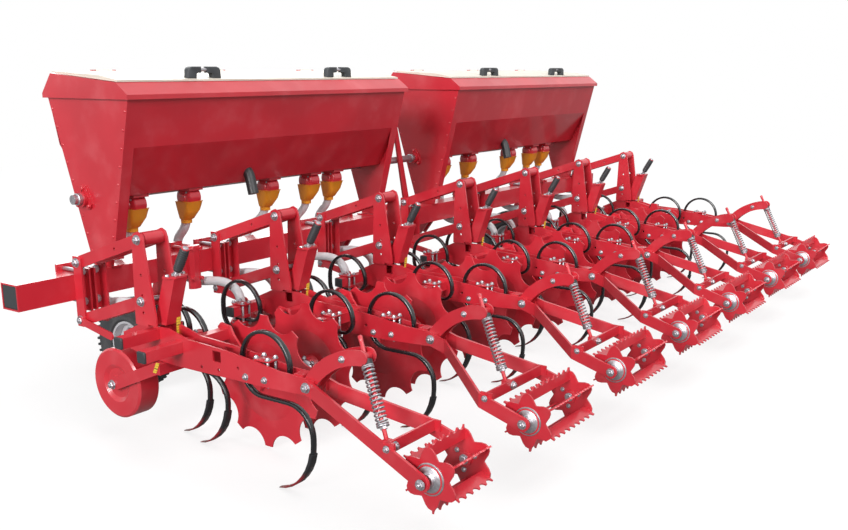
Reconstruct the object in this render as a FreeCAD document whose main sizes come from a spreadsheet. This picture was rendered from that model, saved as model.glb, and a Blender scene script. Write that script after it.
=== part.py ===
import FreeCAD, Part

import math
import os

import Sketcher

# Inter-row cultivator with two fertiliser hoppers, built in millimetres.
# +X is to the right when looking forward, +Y is the direction of travel and
# +Z is up.  The origin is on the ground under the middle of the machine.
# A row unit is drawn once at x = 0 and stands again at every row centre.

doc = FreeCAD.newDocument("row_cultivator")
sheet = doc.addObject("Spreadsheet::Sheet", "Dims")

DIMENSIONS = [
    # toolbar
    ("toolbar_length", 4800),
    ("toolbar_side", 100),
    ("toolbar_wall", 6),
    ("toolbar_y", 706),
    ("toolbar_z", 589),
    # three-point hitch
    ("hitch_half", 387),
    ("hitch_lug_gap", 50),
    ("hitch_lug_plate", 15),
    ("lower_pin_ahead", 95),
    ("lower_pin_z", 490),
    ("lower_pin_radius", 14),
    ("top_pin_ahead", 105),
    ("top_pin_z", 1140),
    ("top_pin_radius", 12.8),
    ("hitch_leg_foot", 120),
    ("top_clevis_half", 30),
    ("top_clevis_plate", 12),
    # row units
    ("row_count", 7),
    ("row_spacing", 700),
    ("pivot_y", 635),
    ("pivot_upper_z", 687),
    ("pivot_gap", 225),
    ("link_run", 369),
    ("link_rise", 125),
    ("link_height", 46),
    ("link_plate", 10),
    ("spare_hole_radius", 6),
    ("pin_radius", 10),
    ("plate", 8),
    ("hanger_half_width", 58),
    ("hanger_top_radius", 30),
    ("hanger_knee_z", 532),
    ("beam_half_width", 34),
    ("beam_nose_y", 412),
    ("beam_tail_y", -508),
    ("beam_tail_z", 408),
    # bracket on the toolbar
    ("ear_depth", 49),
    ("ear_margin", 25),
    ("clamp_plate", 12),
    ("bolt_radius", 8),
    ("bolt_half_spread", 30),
    ("stop_bar_height", 30),
    ("stop_bar_y", 455),
    ("stop_bar_z", 428),
    # bars across the beam
    ("bar_side", 40),
    ("bar_wall", 4),
    ("front_bar_y", 388),
    ("front_bar_z", 419),
    ("second_bar_y", 243),
    ("second_bar_z", 409),
    ("spare_bar_y", 224),
    ("spare_bar_z", 471),
    ("disc_bar_y", 104),
    ("disc_bar_z", 440),
    ("middle_bar_y", -88),
    ("middle_bar_z", 436),
    ("rear_clamp_y", -291),
    ("rear_clamp_z", 430),
    ("bar_reach", 215),
    ("disc_bar_reach", 198),
    # spring tines
    ("tine_width", 22),
    ("tine_thick", 12),
    ("left_tine_offset", 150),
    ("outer_tine_offset", 170),
    ("inner_tine_offset", 125),
    ("tine_below_bar", 40),
    ("loop_radius", 110),
    ("loop_inner_radius", 50),
    ("tine_knee_radius", 90),
    ("tine_back_radius", 105),
    ("tine_sweep_radius", 190),
    ("tine_sweep_angle", 80),
    # crop discs
    ("disc_radius", 258),
    ("disc_offset", 235),
    ("disc_y", -54),
    ("disc_z", 266),
    ("disc_plate", 5),
    ("disc_dish", 26),
    ("disc_flat_radius", 150),
    ("disc_hub_radius", 45),
    ("disc_notches", 10),
    ("disc_notch_radius", 69),
    ("disc_notch_out", 23),
    ("disc_axle_radius", 12),
    ("disc_arm_plate", 10),
    # gauge wheels
    ("gauge_radius", 137),
    ("gauge_width", 100),
    ("gauge_y", 461),
    ("gauge_z", 237),
    ("gauge_axle_radius", 10),
    ("gauge_arm_plate", 8),
    ("gauge_arm_gap", 8),
    ("saddle_y", 198),
    ("saddle_z", 346),
    # depth adjusters
    ("adjuster_side", 60),
    ("adjuster_foot_y", 202),
    ("adjuster_foot_z", 506),
    ("adjuster_top_y", 142),
    ("adjuster_top_z", 684),
    ("slide_side", 36),
    # rollers
    ("roller_y", -1032),
    ("roller_z", 249),
    ("roller_radius", 97),
    ("roller_right", 96),
    ("roller_narrow_left", 100),
    ("roller_wide_left", 222),
    ("roller_plate", 6),
    ("roller_lobes", 6),
    ("roller_valley", 66),
    ("roller_tooth", 13),
    ("roller_hub_radius", 50),
    ("roller_axle_radius", 8),
    ("arm_right", 150),
    ("arm_narrow_left", 148),
    ("arm_wide_left", 262),
    ("arm_plate", 10),
    ("arm_height", 50),
    ("tail_pin_radius", 9),
    ("arm_bend_y", -572),
    ("arm_spread_y", -860),
    ("cross_strap_y", -885),
    ("cross_strap_z", 311),
    # arches and springs
    ("arch_start_y", -492),
    ("arch_start_z", 392),
    ("arch_end_y", -718.5),
    ("arch_end_z", 539.7),
    ("arch_width", 50),
    ("arch_radius", 276),
    ("arch_plate", 6),
    ("spring_radius", 16.5),
    ("spring_rod_radius", 7),
    ("spring_foot_x", -78),
    ("spring_foot_ahead", 22),
    # support wheels
    ("support_x", 1675),
    ("support_y", 946),
    ("support_radius", 208),
    ("support_width", 110),
    ("support_rim_radius", 106),
    ("support_axle_radius", 15),
    ("leg_clamp_width", 62),
    ("leg_tie_radius", 8),
    ("support_leg_plate", 12),
    # hoppers
    ("hopper_inner_x", 255),
    ("hopper_outer_x", 1985),
    ("hopper_wall", 3),
    ("hopper_rear_y", 481),
    ("hopper_front_y", 978),
    ("hopper_top_z", 1297),
    ("hopper_fold_z", 1109),
    ("hopper_floor_z", 912),
    ("hopper_floor_width", 120),
    ("hopper_foot_width", 124),
    ("hopper_flange", 48),
    ("hood_overhang", 14),
    ("hood_rear_z", 1353),
    ("hood_front_z", 1386),
    ("hood_rear_y", 528),
    ("hood_front_y", 928),
    ("hood_rim", 25),
    ("hood_lip", 18),
    ("lid_thick", 4),
    ("lid_gap", 5),
    ("lid_pin_radius", 4),
    ("lid_barrel_radius", 8),
    ("lid_hinge_ahead", 11),
    ("handle_offset", 425),
    ("handle_length", 180),
    # metering and delivery
    ("meter_radius", 44),
    ("meter_length", 56),
    ("funnel_height", 90),
    ("hose_radius", 19),
    ("boot_offset", 110),
    ("boot_y", 432),
    ("boot_top_z", 378),
    ("boot_foot_z", 262),
    ("shaft_y", 790),
    ("shaft_z", 902),
    ("shaft_radius", 19),
    # running fits
    ("running_gap", 0.05),
]

for row, (alias, value) in enumerate(DIMENSIONS, start=1):
    sheet.set("A%d" % row, alias)
    sheet.set("B%d" % row, str(value))
    sheet.setAlias("B%d" % row, alias)
doc.recompute()


class Size:
    """A length that carries its value and the sheet expression behind it."""

    def __init__(self, text, value):
        self.text = text
        self.value = float(value)

    def joined(self, sign, other, value):
        return Size("(%s %s %s)" % (self.text, sign, other.text), value)

    def __add__(self, other):
        other = size(other)
        return self.joined("+", other, self.value + other.value)

    def __sub__(self, other):
        other = size(other)
        return self.joined("-", other, self.value - other.value)

    def __mul__(self, other):
        other = size(other)
        return self.joined("*", other, self.value * other.value)

    def __truediv__(self, other):
        other = size(other)
        return self.joined("/", other, self.value / other.value)

    def __radd__(self, other):
        return size(other) + self

    def __rsub__(self, other):
        return size(other) - self

    def __rmul__(self, other):
        return size(other) * self

    def __neg__(self):
        return size(0) - self

    def __float__(self):
        return self.value


def size(thing):
    """A plain number or a Size, as a Size."""
    if isinstance(thing, Size):
        return thing
    return Size(repr(float(thing)), thing)


class SheetSizes:
    """The sheet's cells by their aliases: d.toolbar_y is a Size."""

    def __getattr__(self, alias):
        return Size("Dims.%s" % alias, sheet.get(alias))


d = SheetSizes()


def count_of(alias):
    return int(sheet.get(alias))


def vec(x, y, z):
    return FreeCAD.Vector(float(x), float(y), float(z))


X_AXIS = vec(1, 0, 0)
Y_AXIS = vec(0, 1, 0)
Z_AXIS = vec(0, 0, 1)
NODES = []


# ---------------------------------------------------------------- helpers

def bind(obj, path, value):
    """Tie a property to the sheet; a plain number is bound as it stands."""
    obj.setExpression(path, size(value).text)


def place(obj, x, y, z):
    for axis, value in zip("xyz", (x, y, z)):
        bind(obj, "Placement.Base.%s" % axis, value)


def between(a, b):
    """Two sizes in rising order."""
    a, b = size(a), size(b)
    return (a, b) if a.value < b.value else (b, a)


class Piece:
    """A PartDesign body built up from sketches whose points follow the sheet."""

    def __init__(self, name):
        self.name = name
        self.steps = 0
        self.body = doc.addObject("PartDesign::Body", name)
        self.body.AllowCompound = True

    def datum(self, role):
        for item in self.body.Origin.OriginFeatures:
            if item.Role == role:
                return item
        raise ValueError(role)

    def add(self, kind, word):
        self.steps += 1
        return self.body.newObject(kind, "%s_%s_%d" % (self.name, word, self.steps))

    def sketch(self, role, offset, loops):
        """A sketch on an origin plane, moved along the plane's normal."""
        sketch = self.add("Sketcher::SketchObject", "sketch")
        sketch.AttachmentSupport = [(self.datum(role), "")]
        sketch.MapMode = "FlatFace"
        bind(sketch, "AttachmentOffset.Base.z", offset)
        for loop in loops:
            if isinstance(loop, tuple):
                self.draw_circle(sketch, *loop)
            else:
                self.draw_outline(sketch, loop)
        return sketch

    def tie(self, sketch, kind, geometry, vertex, value):
        if kind == "Radius":
            constraint = Sketcher.Constraint(kind, geometry, value.value)
        else:
            constraint = Sketcher.Constraint(kind, -1, 1, geometry, vertex, value.value)
        number = sketch.addConstraint(constraint)
        if "Dims" in value.text:
            bind(sketch, "Constraints[%d]" % number, value)

    def draw_outline(self, sketch, outline):
        """A closed outline of straight lines through (across, up) points."""
        points = [(size(across), size(up)) for across, up in outline]
        first = sketch.GeometryCount
        total = len(points)
        for index, (across, up) in enumerate(points):
            to_across, to_up = points[(index + 1) % total]
            start = vec(across, up, 0)
            end = vec(to_across, to_up, 0)
            sketch.addGeometry(Part.LineSegment(start, end), False)
        for index in range(total):
            meets = Sketcher.Constraint("Coincident", first + index, 2, first + (index + 1) % total, 1)
            sketch.addConstraint(meets)
        for index, (across, up) in enumerate(points):
            self.tie(sketch, "DistanceX", first + index, 1, across)
            self.tie(sketch, "DistanceY", first + index, 1, up)

    def draw_circle(self, sketch, across, up, radius):
        across, up, radius = size(across), size(up), size(radius)
        number = sketch.addGeometry(Part.Circle(vec(across, up, 0), Z_AXIS, radius.value), False)
        self.tie(sketch, "DistanceX", number, 3, across)
        self.tie(sketch, "DistanceY", number, 3, up)
        self.tie(sketch, "Radius", number, 0, radius)

    def pad(self, loops, start, end, role="YZ_Plane"):
        """Material between two planes: loops are outlines or (across, up, radius)."""
        start, end = between(start, end)
        offset = -end if role == "XZ_Plane" else start
        pad = self.add("PartDesign::Pad", "pad")
        pad.Profile = self.sketch(role, offset, loops)
        bind(pad, "Length", end - start)
        return pad

    def pocket(self, loops, start, end, role="YZ_Plane"):
        """A cut between two planes."""
        start, end = between(start, end)
        offset = -start if role == "XZ_Plane" else end
        pocket = self.add("PartDesign::Pocket", "pocket")
        pocket.Profile = self.sketch(role, offset, loops)
        bind(pocket, "Length", end - start)
        return pocket

    def turned(self, outline, grooved=False):
        """Material, or a groove, turned about the X axis: points (x, radius)."""
        kind = "Groove" if grooved else "Revolution"
        turned = self.add("PartDesign::%s" % kind, "turned")
        turned.Profile = self.sketch("XY_Plane", 0, [outline])
        turned.ReferenceAxis = (turned.Profile[0], ["H_Axis"])
        turned.Angle = 360
        return turned

    def polar(self, features, alias):
        """Repeat features about the X axis as often as the sheet says."""
        pattern = self.add("PartDesign::PolarPattern", "polar")
        pattern.Originals = features
        pattern.Axis = (self.datum("X_Axis"), [""])
        pattern.Angle = 360
        bind(pattern, "Occurrences", Size("Dims.%s" % alias, sheet.get(alias)))
        self.body.Tip = pattern
        return pattern

    def mirror(self):
        """The whole piece again on the other side of its own YZ plane."""
        doc.recompute()
        mirrored = self.add("PartDesign::Mirrored", "mirrored")
        mirrored.TransformMode = "Whole shape"
        mirrored.MirrorPlane = (self.datum("YZ_Plane"), [""])
        self.body.Tip = mirrored
        return self

    def holes(self, places, start, end):
        """Round holes along X: places are (y, z, radius)."""
        return self.pocket([tuple(item) for item in places], start, end)


def rod_x(name, radius, start, end, y, z):
    """A round bar along X."""
    start, end = between(start, end)
    rod = doc.addObject("Part::Cylinder", name)
    bind(rod, "Radius", radius)
    bind(rod, "Height", end - start)
    rod.Placement.Rotation = FreeCAD.Rotation(Y_AXIS, 90)
    place(rod, start, y, z)
    return rod


def box(name, x, y, z):
    """A block from three (start, end) pairs."""
    block = doc.addObject("Part::Box", name)
    starts = []
    for side, (start, end) in zip(("Length", "Width", "Height"), (x, y, z)):
        start, end = between(start, end)
        bind(block, side, end - start)
        starts.append(start)
    place(block, *starts)
    return block


def fuse(name, pieces):
    union = doc.addObject("Part::MultiFuse", name)
    union.Shapes = pieces
    union.Refine = True
    return union


def cut(name, base, tool):
    result = doc.addObject("Part::Cut", name)
    result.Base = base
    result.Tool = tool
    result.Refine = True
    return result


def at(source, name, x, y=0, z=0):
    """The same piece again at another place."""
    link = doc.addObject("App::Link", name)
    link.LinkedObject = source.body if isinstance(source, Piece) else source
    link.LinkTransform = True
    place(link, x, y, z)
    return link


def node(label, pieces):
    """One sub-part of separate solids, named and put on the export list."""
    compound = doc.addObject("Part::Compound", "node_" + label)
    compound.Links = [piece.body if isinstance(piece, Piece) else piece for piece in pieces]
    compound.Label = label
    NODES.append(compound)
    return compound


def shape_object(name, shape):
    """A shape made with Part's own functions."""
    obj = doc.addObject("Part::Feature", name)
    obj.Shape = shape
    obj.Placement = FreeCAD.Placement()
    return obj


def row_x(index):
    """Row centre, counted from the left."""
    return d.row_spacing * index - d.row_spacing * (d.row_count - 1) / 2


ROWS = range(count_of("row_count"))
FIRST_ROW = ROWS[0]
LAST_ROW = ROWS[-1]


def at_rows(source, name, rows=ROWS):
    return [at(source, "%s_%d" % (name, index), row_x(index)) for index in rows]


def bar_shape(height, start, end, x0, x1):
    """A flat bar with round ends, seen from the side: ends are (y, z)."""
    radius = float(height) / 2.0
    a = vec(x0, start[0], start[1])
    b = vec(x0, end[0], end[1])
    along = (b - a).normalize() * radius
    side = X_AXIS.cross(along)
    edges = [
        Part.LineSegment(a + side, b + side).toShape(),
        Part.Arc(b + side, b + along, b - side).toShape(),
        Part.LineSegment(b - side, a - side).toShape(),
        Part.Arc(a - side, a - along, a + side).toShape(),
    ]
    return Part.Face(Part.Wire(edges)).extrude(vec(x1 - x0, 0, 0))


def strip(steps, start, heading, thick, x0, x1):
    """A flat bar bent in the side view.

    steps holds ("line", length) and ("arc", radius, degrees), where a
    positive turn is to the left; start is (y, z) and heading is in degrees
    from +Y towards +Z.
    """
    y, z = float(start[0]), float(start[1])
    angle = math.radians(heading)
    half = float(thick) / 2.0
    left = []
    right = []

    def beside(py, pz, direction, offset):
        return vec(x0, py - offset * math.sin(direction), pz + offset * math.cos(direction))

    for step in steps:
        if step[0] == "line":
            length = float(step[1])
            y2 = y + length * math.cos(angle)
            z2 = z + length * math.sin(angle)
            for side, offset in ((left, half), (right, -half)):
                ends = (beside(y, z, angle, offset), beside(y2, z2, angle, offset))
                side.append(Part.LineSegment(*ends).toShape())
            y, z = y2, z2
            continue
        turn = math.radians(float(step[2]))
        reach = math.copysign(float(step[1]), turn)
        centre_y = y - reach * math.sin(angle)
        centre_z = z + reach * math.cos(angle)

        def on_arc(share, offset):
            direction = angle + turn * share
            py = centre_y + reach * math.sin(direction)
            pz = centre_z - reach * math.cos(direction)
            return beside(py, pz, direction, offset)

        for side, offset in ((left, half), (right, -half)):
            arc = Part.Arc(on_arc(0, offset), on_arc(0.5, offset), on_arc(1, offset))
            side.append(arc.toShape())
        y = centre_y + reach * math.sin(angle + turn)
        z = centre_z - reach * math.cos(angle + turn)
        angle += turn

    far_end = Part.LineSegment(left[-1].Vertexes[-1].Point, right[-1].Vertexes[-1].Point)
    near_end = Part.LineSegment(right[0].Vertexes[0].Point, left[0].Vertexes[0].Point)
    edges = left + [far_end.toShape()] + right + [near_end.toShape()]
    wire = Part.Wire(Part.__sortEdges__(edges))
    return Part.Face(wire).extrude(vec(x1 - x0, 0, 0))


def round_path(points):
    """Straight runs joined by tangent arcs, each as large as its runs allow."""
    edges = []
    last = points[0]
    for before, corner, after in zip(points, points[1:], points[2:]):
        run_in = corner - before
        run_out = after - corner
        turn = run_in.getAngle(run_out)
        trim = 0.45 * min(run_in.Length, run_out.Length)
        start = corner - run_in.normalize() * trim
        end = corner + run_out.normalize() * trim
        chord_middle = (start + end) / 2.0
        radius = trim / math.tan(turn / 2.0)
        inward = (chord_middle - corner).normalize()
        middle = corner + inward * (radius / math.cos(turn / 2.0) - radius)
        edges.append(Part.LineSegment(last, start).toShape())
        edges.append(Part.Arc(start, middle, end).toShape())
        last = end
    edges.append(Part.LineSegment(last, points[-1]).toShape())
    return Part.Wire(edges)


def bent_rod(radius, points):
    """A round rod or hose along a rounded path."""
    path = round_path(points)
    heading = points[1] - points[0]
    circle = Part.Wire(Part.Circle(points[0], heading, float(radius)).toShape())
    rod = path.makePipeShell([circle], True, False)
    expected = math.pi * float(radius) ** 2 * path.Length
    if abs(rod.Volume - expected) > 0.02 * expected:
        raise RuntimeError("a bent rod's volume doesn't match its length")
    return rod


# ---------------------------------------------------------------- toolbar and hitch

def square(half, y, z):
    """A square about (y, z) in the side view."""
    return [(y - half, z - half), (y + half, z - half), (y + half, z + half), (y - half, z + half)]


def build_toolbar():
    toolbar = Piece("toolbar_tube")
    outer = square(d.toolbar_side / 2, d.toolbar_y, d.toolbar_z)
    inner = square(d.toolbar_side / 2 - d.toolbar_wall, d.toolbar_y, d.toolbar_z)
    toolbar.pad([outer, inner], -d.toolbar_length / 2, d.toolbar_length / 2)
    node("toolbar", [toolbar])


FRONT = d.toolbar_y + d.toolbar_side / 2
REAR = d.toolbar_y - d.toolbar_side / 2
DECK = d.toolbar_z + d.toolbar_side / 2
UNDER = d.toolbar_z - d.toolbar_side / 2


def build_hitch():
    """Lower lugs with pins, two leaning legs and the top clevis."""
    frame = Piece("hitch_right_half")
    pin_y, pin_z = FRONT + d.lower_pin_ahead, d.lower_pin_z
    lug = [(FRONT, DECK + 30), (FRONT + 45, DECK + 30), (pin_y + 35, pin_z + 30), (pin_y + 35, pin_z - 20),
           (pin_y - 35, pin_z - 50), (FRONT, UNDER - 20)]
    inner = d.hitch_half - d.hitch_lug_gap / 2
    outer = d.hitch_half + d.hitch_lug_gap / 2
    for centre in (inner, outer):
        frame.pad([lug], centre - d.hitch_lug_plate / 2, centre + d.hitch_lug_plate / 2)
    base = [(inner - 20, UNDER + 12), (outer + 20, UNDER + 12), (outer + 20, DECK), (inner - 20, DECK)]
    frame.pad([base], FRONT, FRONT + 12, "XZ_Plane")
    frame.pad([(pin_y, pin_z, d.lower_pin_radius)], inner - 35, outer + 70)
    top_y, top_z = FRONT + d.top_pin_ahead, d.top_pin_z
    clevis = [(top_y - 40, top_z - 110), (top_y + 25, top_z - 110), (top_y + 35, top_z), (top_y + 18, top_z + 35),
              (top_y - 28, top_z + 35), (top_y - 45, top_z)]
    clevis_out = d.top_clevis_half + d.top_clevis_plate
    frame.pad([clevis], d.top_clevis_half, clevis_out)
    leg_foot = d.hitch_leg_foot
    leg = [(leg_foot, UNDER), (leg_foot + 50, UNDER), (leg_foot + 50, DECK), (clevis_out, top_z - 20),
           (clevis_out - 10, top_z - 105), (leg_foot, DECK)]
    frame.pad([leg], FRONT, FRONT + 12, "XZ_Plane")
    rail = [(leg_foot + 20, UNDER + 12), (inner, UNDER + 12), (inner, UNDER + 52), (leg_foot + 20, UNDER + 52)]
    frame.pad([rail], FRONT, FRONT + 12, "XZ_Plane")
    web = [(FRONT, top_z - 110), (top_y - 30, top_z - 110), (top_y - 30, top_z - 30), (FRONT, top_z - 60)]
    frame.pad([web], d.top_clevis_half, clevis_out)
    cross = [(0, top_z - 110), (d.top_clevis_half, top_z - 110), (d.top_clevis_half, top_z - 80), (0, top_z - 80)]
    frame.pad([cross], FRONT, FRONT + 12, "XZ_Plane")
    frame.holes([(top_y, top_z, d.top_pin_radius)], 0, clevis_out + 5)
    frame.mirror()
    node("hitch_frame", [frame])


# ---------------------------------------------------------------- row unit carriers

def build_brackets():
    """Ears behind the toolbar, a clamp plate in front and bolts between."""
    outer, inner = d.hanger_half_width, d.hanger_half_width - d.plate
    top = d.pivot_upper_z + d.ear_margin
    low = d.pivot_upper_z - d.pivot_gap - d.ear_margin
    back = d.pivot_y - d.ear_depth + 21
    ears = Piece("bracket_ears")
    outline = [(back, low + 14), (back + 14, low), (REAR, low), (REAR, top), (back + 8, top), (back, top - 8)]
    ears.pad([outline], inner, outer)
    upper_clear = d.pivot_upper_z - d.link_height / 2 - 6
    lower_clear = d.pivot_upper_z - d.pivot_gap + d.link_height / 2 + 6
    plate = [(0, lower_clear), (inner, lower_clear), (inner, upper_clear), (0, upper_clear)]
    ears.pad([plate], REAR - d.plate, REAR, "XZ_Plane")
    rib = [(REAR - 34, lower_clear), (REAR - d.plate, lower_clear), (REAR - d.plate, upper_clear),
           (REAR - 34, upper_clear)]
    ears.pad([rib], 8, 16)
    low_z, high_z = d.pivot_upper_z - d.pivot_gap, d.pivot_upper_z
    ears.holes([(d.pivot_y, low_z, d.pin_radius), (d.pivot_y, high_z, d.pin_radius)], inner - 5, outer + 5)
    bolt_x = d.bolt_half_spread
    bolt_zs = (UNDER - d.bolt_radius - 1, DECK + d.bolt_radius + 1)
    circles = [(bolt_x, z, d.bolt_radius) for z in bolt_zs]
    ears.pocket(circles, REAR - 60, REAR + 5, "XZ_Plane")
    ears.mirror()
    clamp = Piece("bracket_clamp")
    half = d.hanger_half_width + 4
    face = [(0, UNDER - 27), (half, UNDER - 27), (half, DECK + 27), (0, DECK + 27)]
    clamp.pad([face], FRONT, FRONT + d.clamp_plate, "XZ_Plane")
    clamp.pocket(circles, FRONT - 5, FRONT + d.clamp_plate + 5, "XZ_Plane")
    clamp.mirror()
    low_pivot, stop_end = (d.pivot_y, low_z), (d.stop_bar_y, d.stop_bar_z)
    face = -float(outer)
    stop_blank = shape_object("stop_bar_blank", bar_shape(d.stop_bar_height, low_pivot, stop_end, face - 6, face))
    stop_bore = rod_x("stop_bar_bore", d.pin_radius, -outer - 8, -outer + 1, *low_pivot)
    stop_bar = cut("stop_bar", stop_blank, stop_bore)
    node("bracket_clamps", at_rows(ears, "ears") + at_rows(clamp, "clamp") + at_rows(stop_bar, "stop_bar"))
    bolts = Piece("bracket_bolt_pair")
    bolts.pad(circles, REAR - 22, FRONT + d.clamp_plate + 22, "XZ_Plane")
    bolts.mirror()
    node("bracket_bolts", at_rows(bolts, "bolts"))


def pivots():
    """Front and rear ends (y, z) of the lower and the upper links."""
    for front_z in (d.pivot_upper_z - d.pivot_gap, d.pivot_upper_z):
        yield (d.pivot_y, front_z), (d.pivot_y - d.link_run, front_z + d.link_rise)


LINK_HOLE_SHARE = 0.39


def build_links():
    """Upper and lower flat links on both sides of each row unit."""
    outer = d.hanger_half_width - d.plate
    inner = outer - d.link_plate
    links = []
    pins = []
    for level, (front, rear) in zip(("lower", "upper"), pivots()):
        flat = bar_shape(d.link_height, front, rear, float(inner), float(outer))
        blank = shape_object("%s_link_blank" % level, flat)
        for word, (y, z) in (("front", front), ("rear", rear)):
            bore = rod_x("%s_link_%s_bore" % (level, word), d.pin_radius, inner - 1, outer + 1, y, z)
            blank = cut("%s_link_%s" % (level, word), blank, bore)
            pins.append(rod_x("%s_%s_pin" % (level, word), d.pin_radius, -d.hanger_half_width - 10,
                              d.hanger_half_width + 10, y, z))
        if level == "upper":
            y, z = rear[0] + (front[0] - rear[0]) * LINK_HOLE_SHARE, rear[1] + (front[1] - rear[1]) * LINK_HOLE_SHARE
            spare = rod_x("upper_link_spare_bore", d.spare_hole_radius, inner - 1, outer + 1, y, z)
            blank = cut("upper_link_drilled", blank, spare)
        twin = doc.addObject("Part::Mirroring", "%s_link_twin" % level)
        twin.Source = blank
        twin.Normal = X_AXIS
        links += [blank, twin]
    node("parallel_links", [item for index, link in enumerate(links) for item in at_rows(link, "link%d" % index)])
    node("link_pins", [item for index, pin in enumerate(pins) for item in at_rows(pin, "pin%d" % index)])


def build_hangers():
    """Cheeks that carry the beam, joined at the upper pivot by a tube."""
    outer, inner = d.hanger_half_width, d.hanger_half_width - d.plate
    _, (y, z) = list(pivots())[1]
    low_z = z - d.pivot_gap
    radius = d.hanger_top_radius
    knee = d.hanger_knee_z
    foot = d.adjuster_foot_z
    cheek = Piece("hanger_cheeks")
    outline = [(y - radius, z), (y - radius * 0.7, z + radius * 0.7), (y, z + radius),
               (y + radius * 0.7, z + radius * 0.7), (y + radius, z), (y + 38, knee), (y + 38, foot),
               (y - 75, foot), (y - 75, knee)]
    cheek.pad([outline], inner, outer)
    ledge = [(0, foot - d.plate), (outer, foot - d.plate), (outer, foot), (0, foot)]
    cheek.pad([ledge], y - 30, y + 38, "XZ_Plane")
    spacer_half = inner - d.link_plate - 1
    cheek.pad([(y, z, radius - 5)], 0, spacer_half)
    cheek.pocket([(y, z, d.pin_radius), (y, low_z, d.pin_radius)], 0, outer + 5)
    cheek.pocket([(across, up, d.spare_hole_radius) for across, up in SPARE_HANGER_HOLES], inner - 1, outer + 1)
    cheek.mirror()
    node("hangers", at_rows(cheek, "hanger"))


# ---------------------------------------------------------------- beams and cross bars

def bar_places():
    """The square bars that pass through every beam: (y, z)."""
    for name in ("front_bar", "spare_bar", "disc_bar", "middle_bar"):
        yield getattr(d, name + "_y"), getattr(d, name + "_z")


SPARE_BEAM_HOLES = ((-9, 385), (-95, 389), (-190, 413))
SPARE_HANGER_HOLES = ((258, 685), (257, 610), (257, 546))


def build_beams():
    outer, inner = d.beam_half_width, d.beam_half_width - d.plate
    nose = d.beam_nose_y
    foot = d.adjuster_foot_z - d.plate
    beam = Piece("beam_right_half")
    side = [(nose, 395), (nose, 447), (300, foot), (160, foot), (60, 474), (-124, 466), (-274, 452), (-380, 438),
            (-534, 433), (-534, 384), (-484, 377), (-293, 369), (-150, 368), (116, 364), (300, 372)]
    beam.pad([side], inner, outer)
    top = [(nose, 439), (nose, 447), (300, foot), (236, foot), (236, foot - 8), (298, foot - 8)]
    beam.pad([top], 0, inner)
    beam.pad([[(-480, 400), (-440, 400), (-440, 440), (-480, 440)]], 0, inner)
    beam.pad([[(nose - 8, 395), (nose, 395), (nose, 447), (nose - 8, 447)]], 0, inner)
    holes = [square(d.bar_side / 2, y, z) for y, z in bar_places()]
    beam.pocket(holes, -1, outer + 1)
    beam.pocket([(d.beam_tail_y, d.beam_tail_z, d.tail_pin_radius)], 0, outer + 5)
    beam.pocket([(y, z, d.spare_hole_radius) for y, z in SPARE_BEAM_HOLES], inner - 1, outer + 1)
    beam.mirror()
    node("row_beams", at_rows(beam, "beam"))


def bar_spans(index):
    """Square bars of one row unit: name, left end and right end."""
    reach, short, side = d.bar_reach, d.disc_bar_reach, d.beam_half_width
    on_left, on_right = index > FIRST_ROW, index < LAST_ROW
    yield "front_bar", -reach if on_left else -side, reach if on_right else side
    yield "disc_bar", -short, short
    if on_left:
        yield "middle_bar", -short, side
    else:
        yield "spare_bar", -short, side
    if on_right:
        yield "second_bar", side, short
    else:
        yield "spare_bar", -side, short


def build_cross_bars():
    bars = []
    for index in ROWS:
        for name, start, end in bar_spans(index):
            y, z = getattr(d, name + "_y"), getattr(d, name + "_z")
            bar = Piece("%s_%d" % (name, index))
            half = d.bar_side / 2
            bar.pad([square(half, y, z), square(half - d.bar_wall, y, z)], row_x(index) + start, row_x(index) + end)
            bars.append(bar)
    node("cross_bars", bars)


# ---------------------------------------------------------------- spring tines

def tine(name, offset, bar_y, bar_z):
    """An S tine: clamped end under its bar, a loop round the bar, then the leg."""
    loop, inner = float(d.loop_radius), float(d.loop_inner_radius)
    knee, back = float(d.tine_knee_radius), float(d.tine_back_radius)
    sweep, angle = float(d.tine_sweep_radius), float(d.tine_sweep_angle)
    thick, half = float(d.tine_thick), float(d.tine_width) / 2.0
    heel = 35
    start_z = float(bar_z - d.tine_below_bar)
    below_knee = 30
    tip_drop = (sweep + thick / 2.0) * math.sin(math.radians(angle))
    leg = start_z + inner - below_knee - knee - back - tip_drop
    steps = [
        ("line", heel + loop - inner),
        ("arc", inner, -90),
        ("arc", loop, -180),
        ("line", below_knee),
        ("arc", knee, -90),
        ("line", loop + 10),
        ("arc", back, 90),
        ("line", leg),
        ("arc", sweep, angle),
    ]
    shape = strip(steps, (float(bar_y) + heel, start_z), 180, thick, float(offset) - half, float(offset) + half)
    return shape_object(name, shape)


def build_tines():
    inner_rows, outer_rows = ROWS[1:], ROWS[:-1]
    front_left = tine("front_left_tine", -d.left_tine_offset, d.front_bar_y, d.front_bar_z)
    front_right = tine("front_right_tine", d.outer_tine_offset, d.front_bar_y, d.front_bar_z)
    middle_left = tine("middle_left_tine", -d.inner_tine_offset, d.middle_bar_y, d.middle_bar_z)
    second_right = tine("second_right_tine", d.inner_tine_offset, d.second_bar_y, d.second_bar_z)
    centre = tine("centre_tine", size(0), d.rear_clamp_y, d.rear_clamp_z)
    node("front_tines", at_rows(front_left, "tine_fl", inner_rows) + at_rows(front_right, "tine_fr", outer_rows))
    node("side_tines", at_rows(middle_left, "tine_ml", inner_rows) + at_rows(second_right, "tine_sr", outer_rows))
    node("rear_tines", at_rows(centre, "tine_c"))


# ---------------------------------------------------------------- crop discs

def disc_sides():
    """Row and side of every crop disc: one on each side that faces a crop row."""
    for index in ROWS:
        if index > FIRST_ROW:
            yield index, -1
        if index < LAST_ROW:
            yield index, 1


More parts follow.
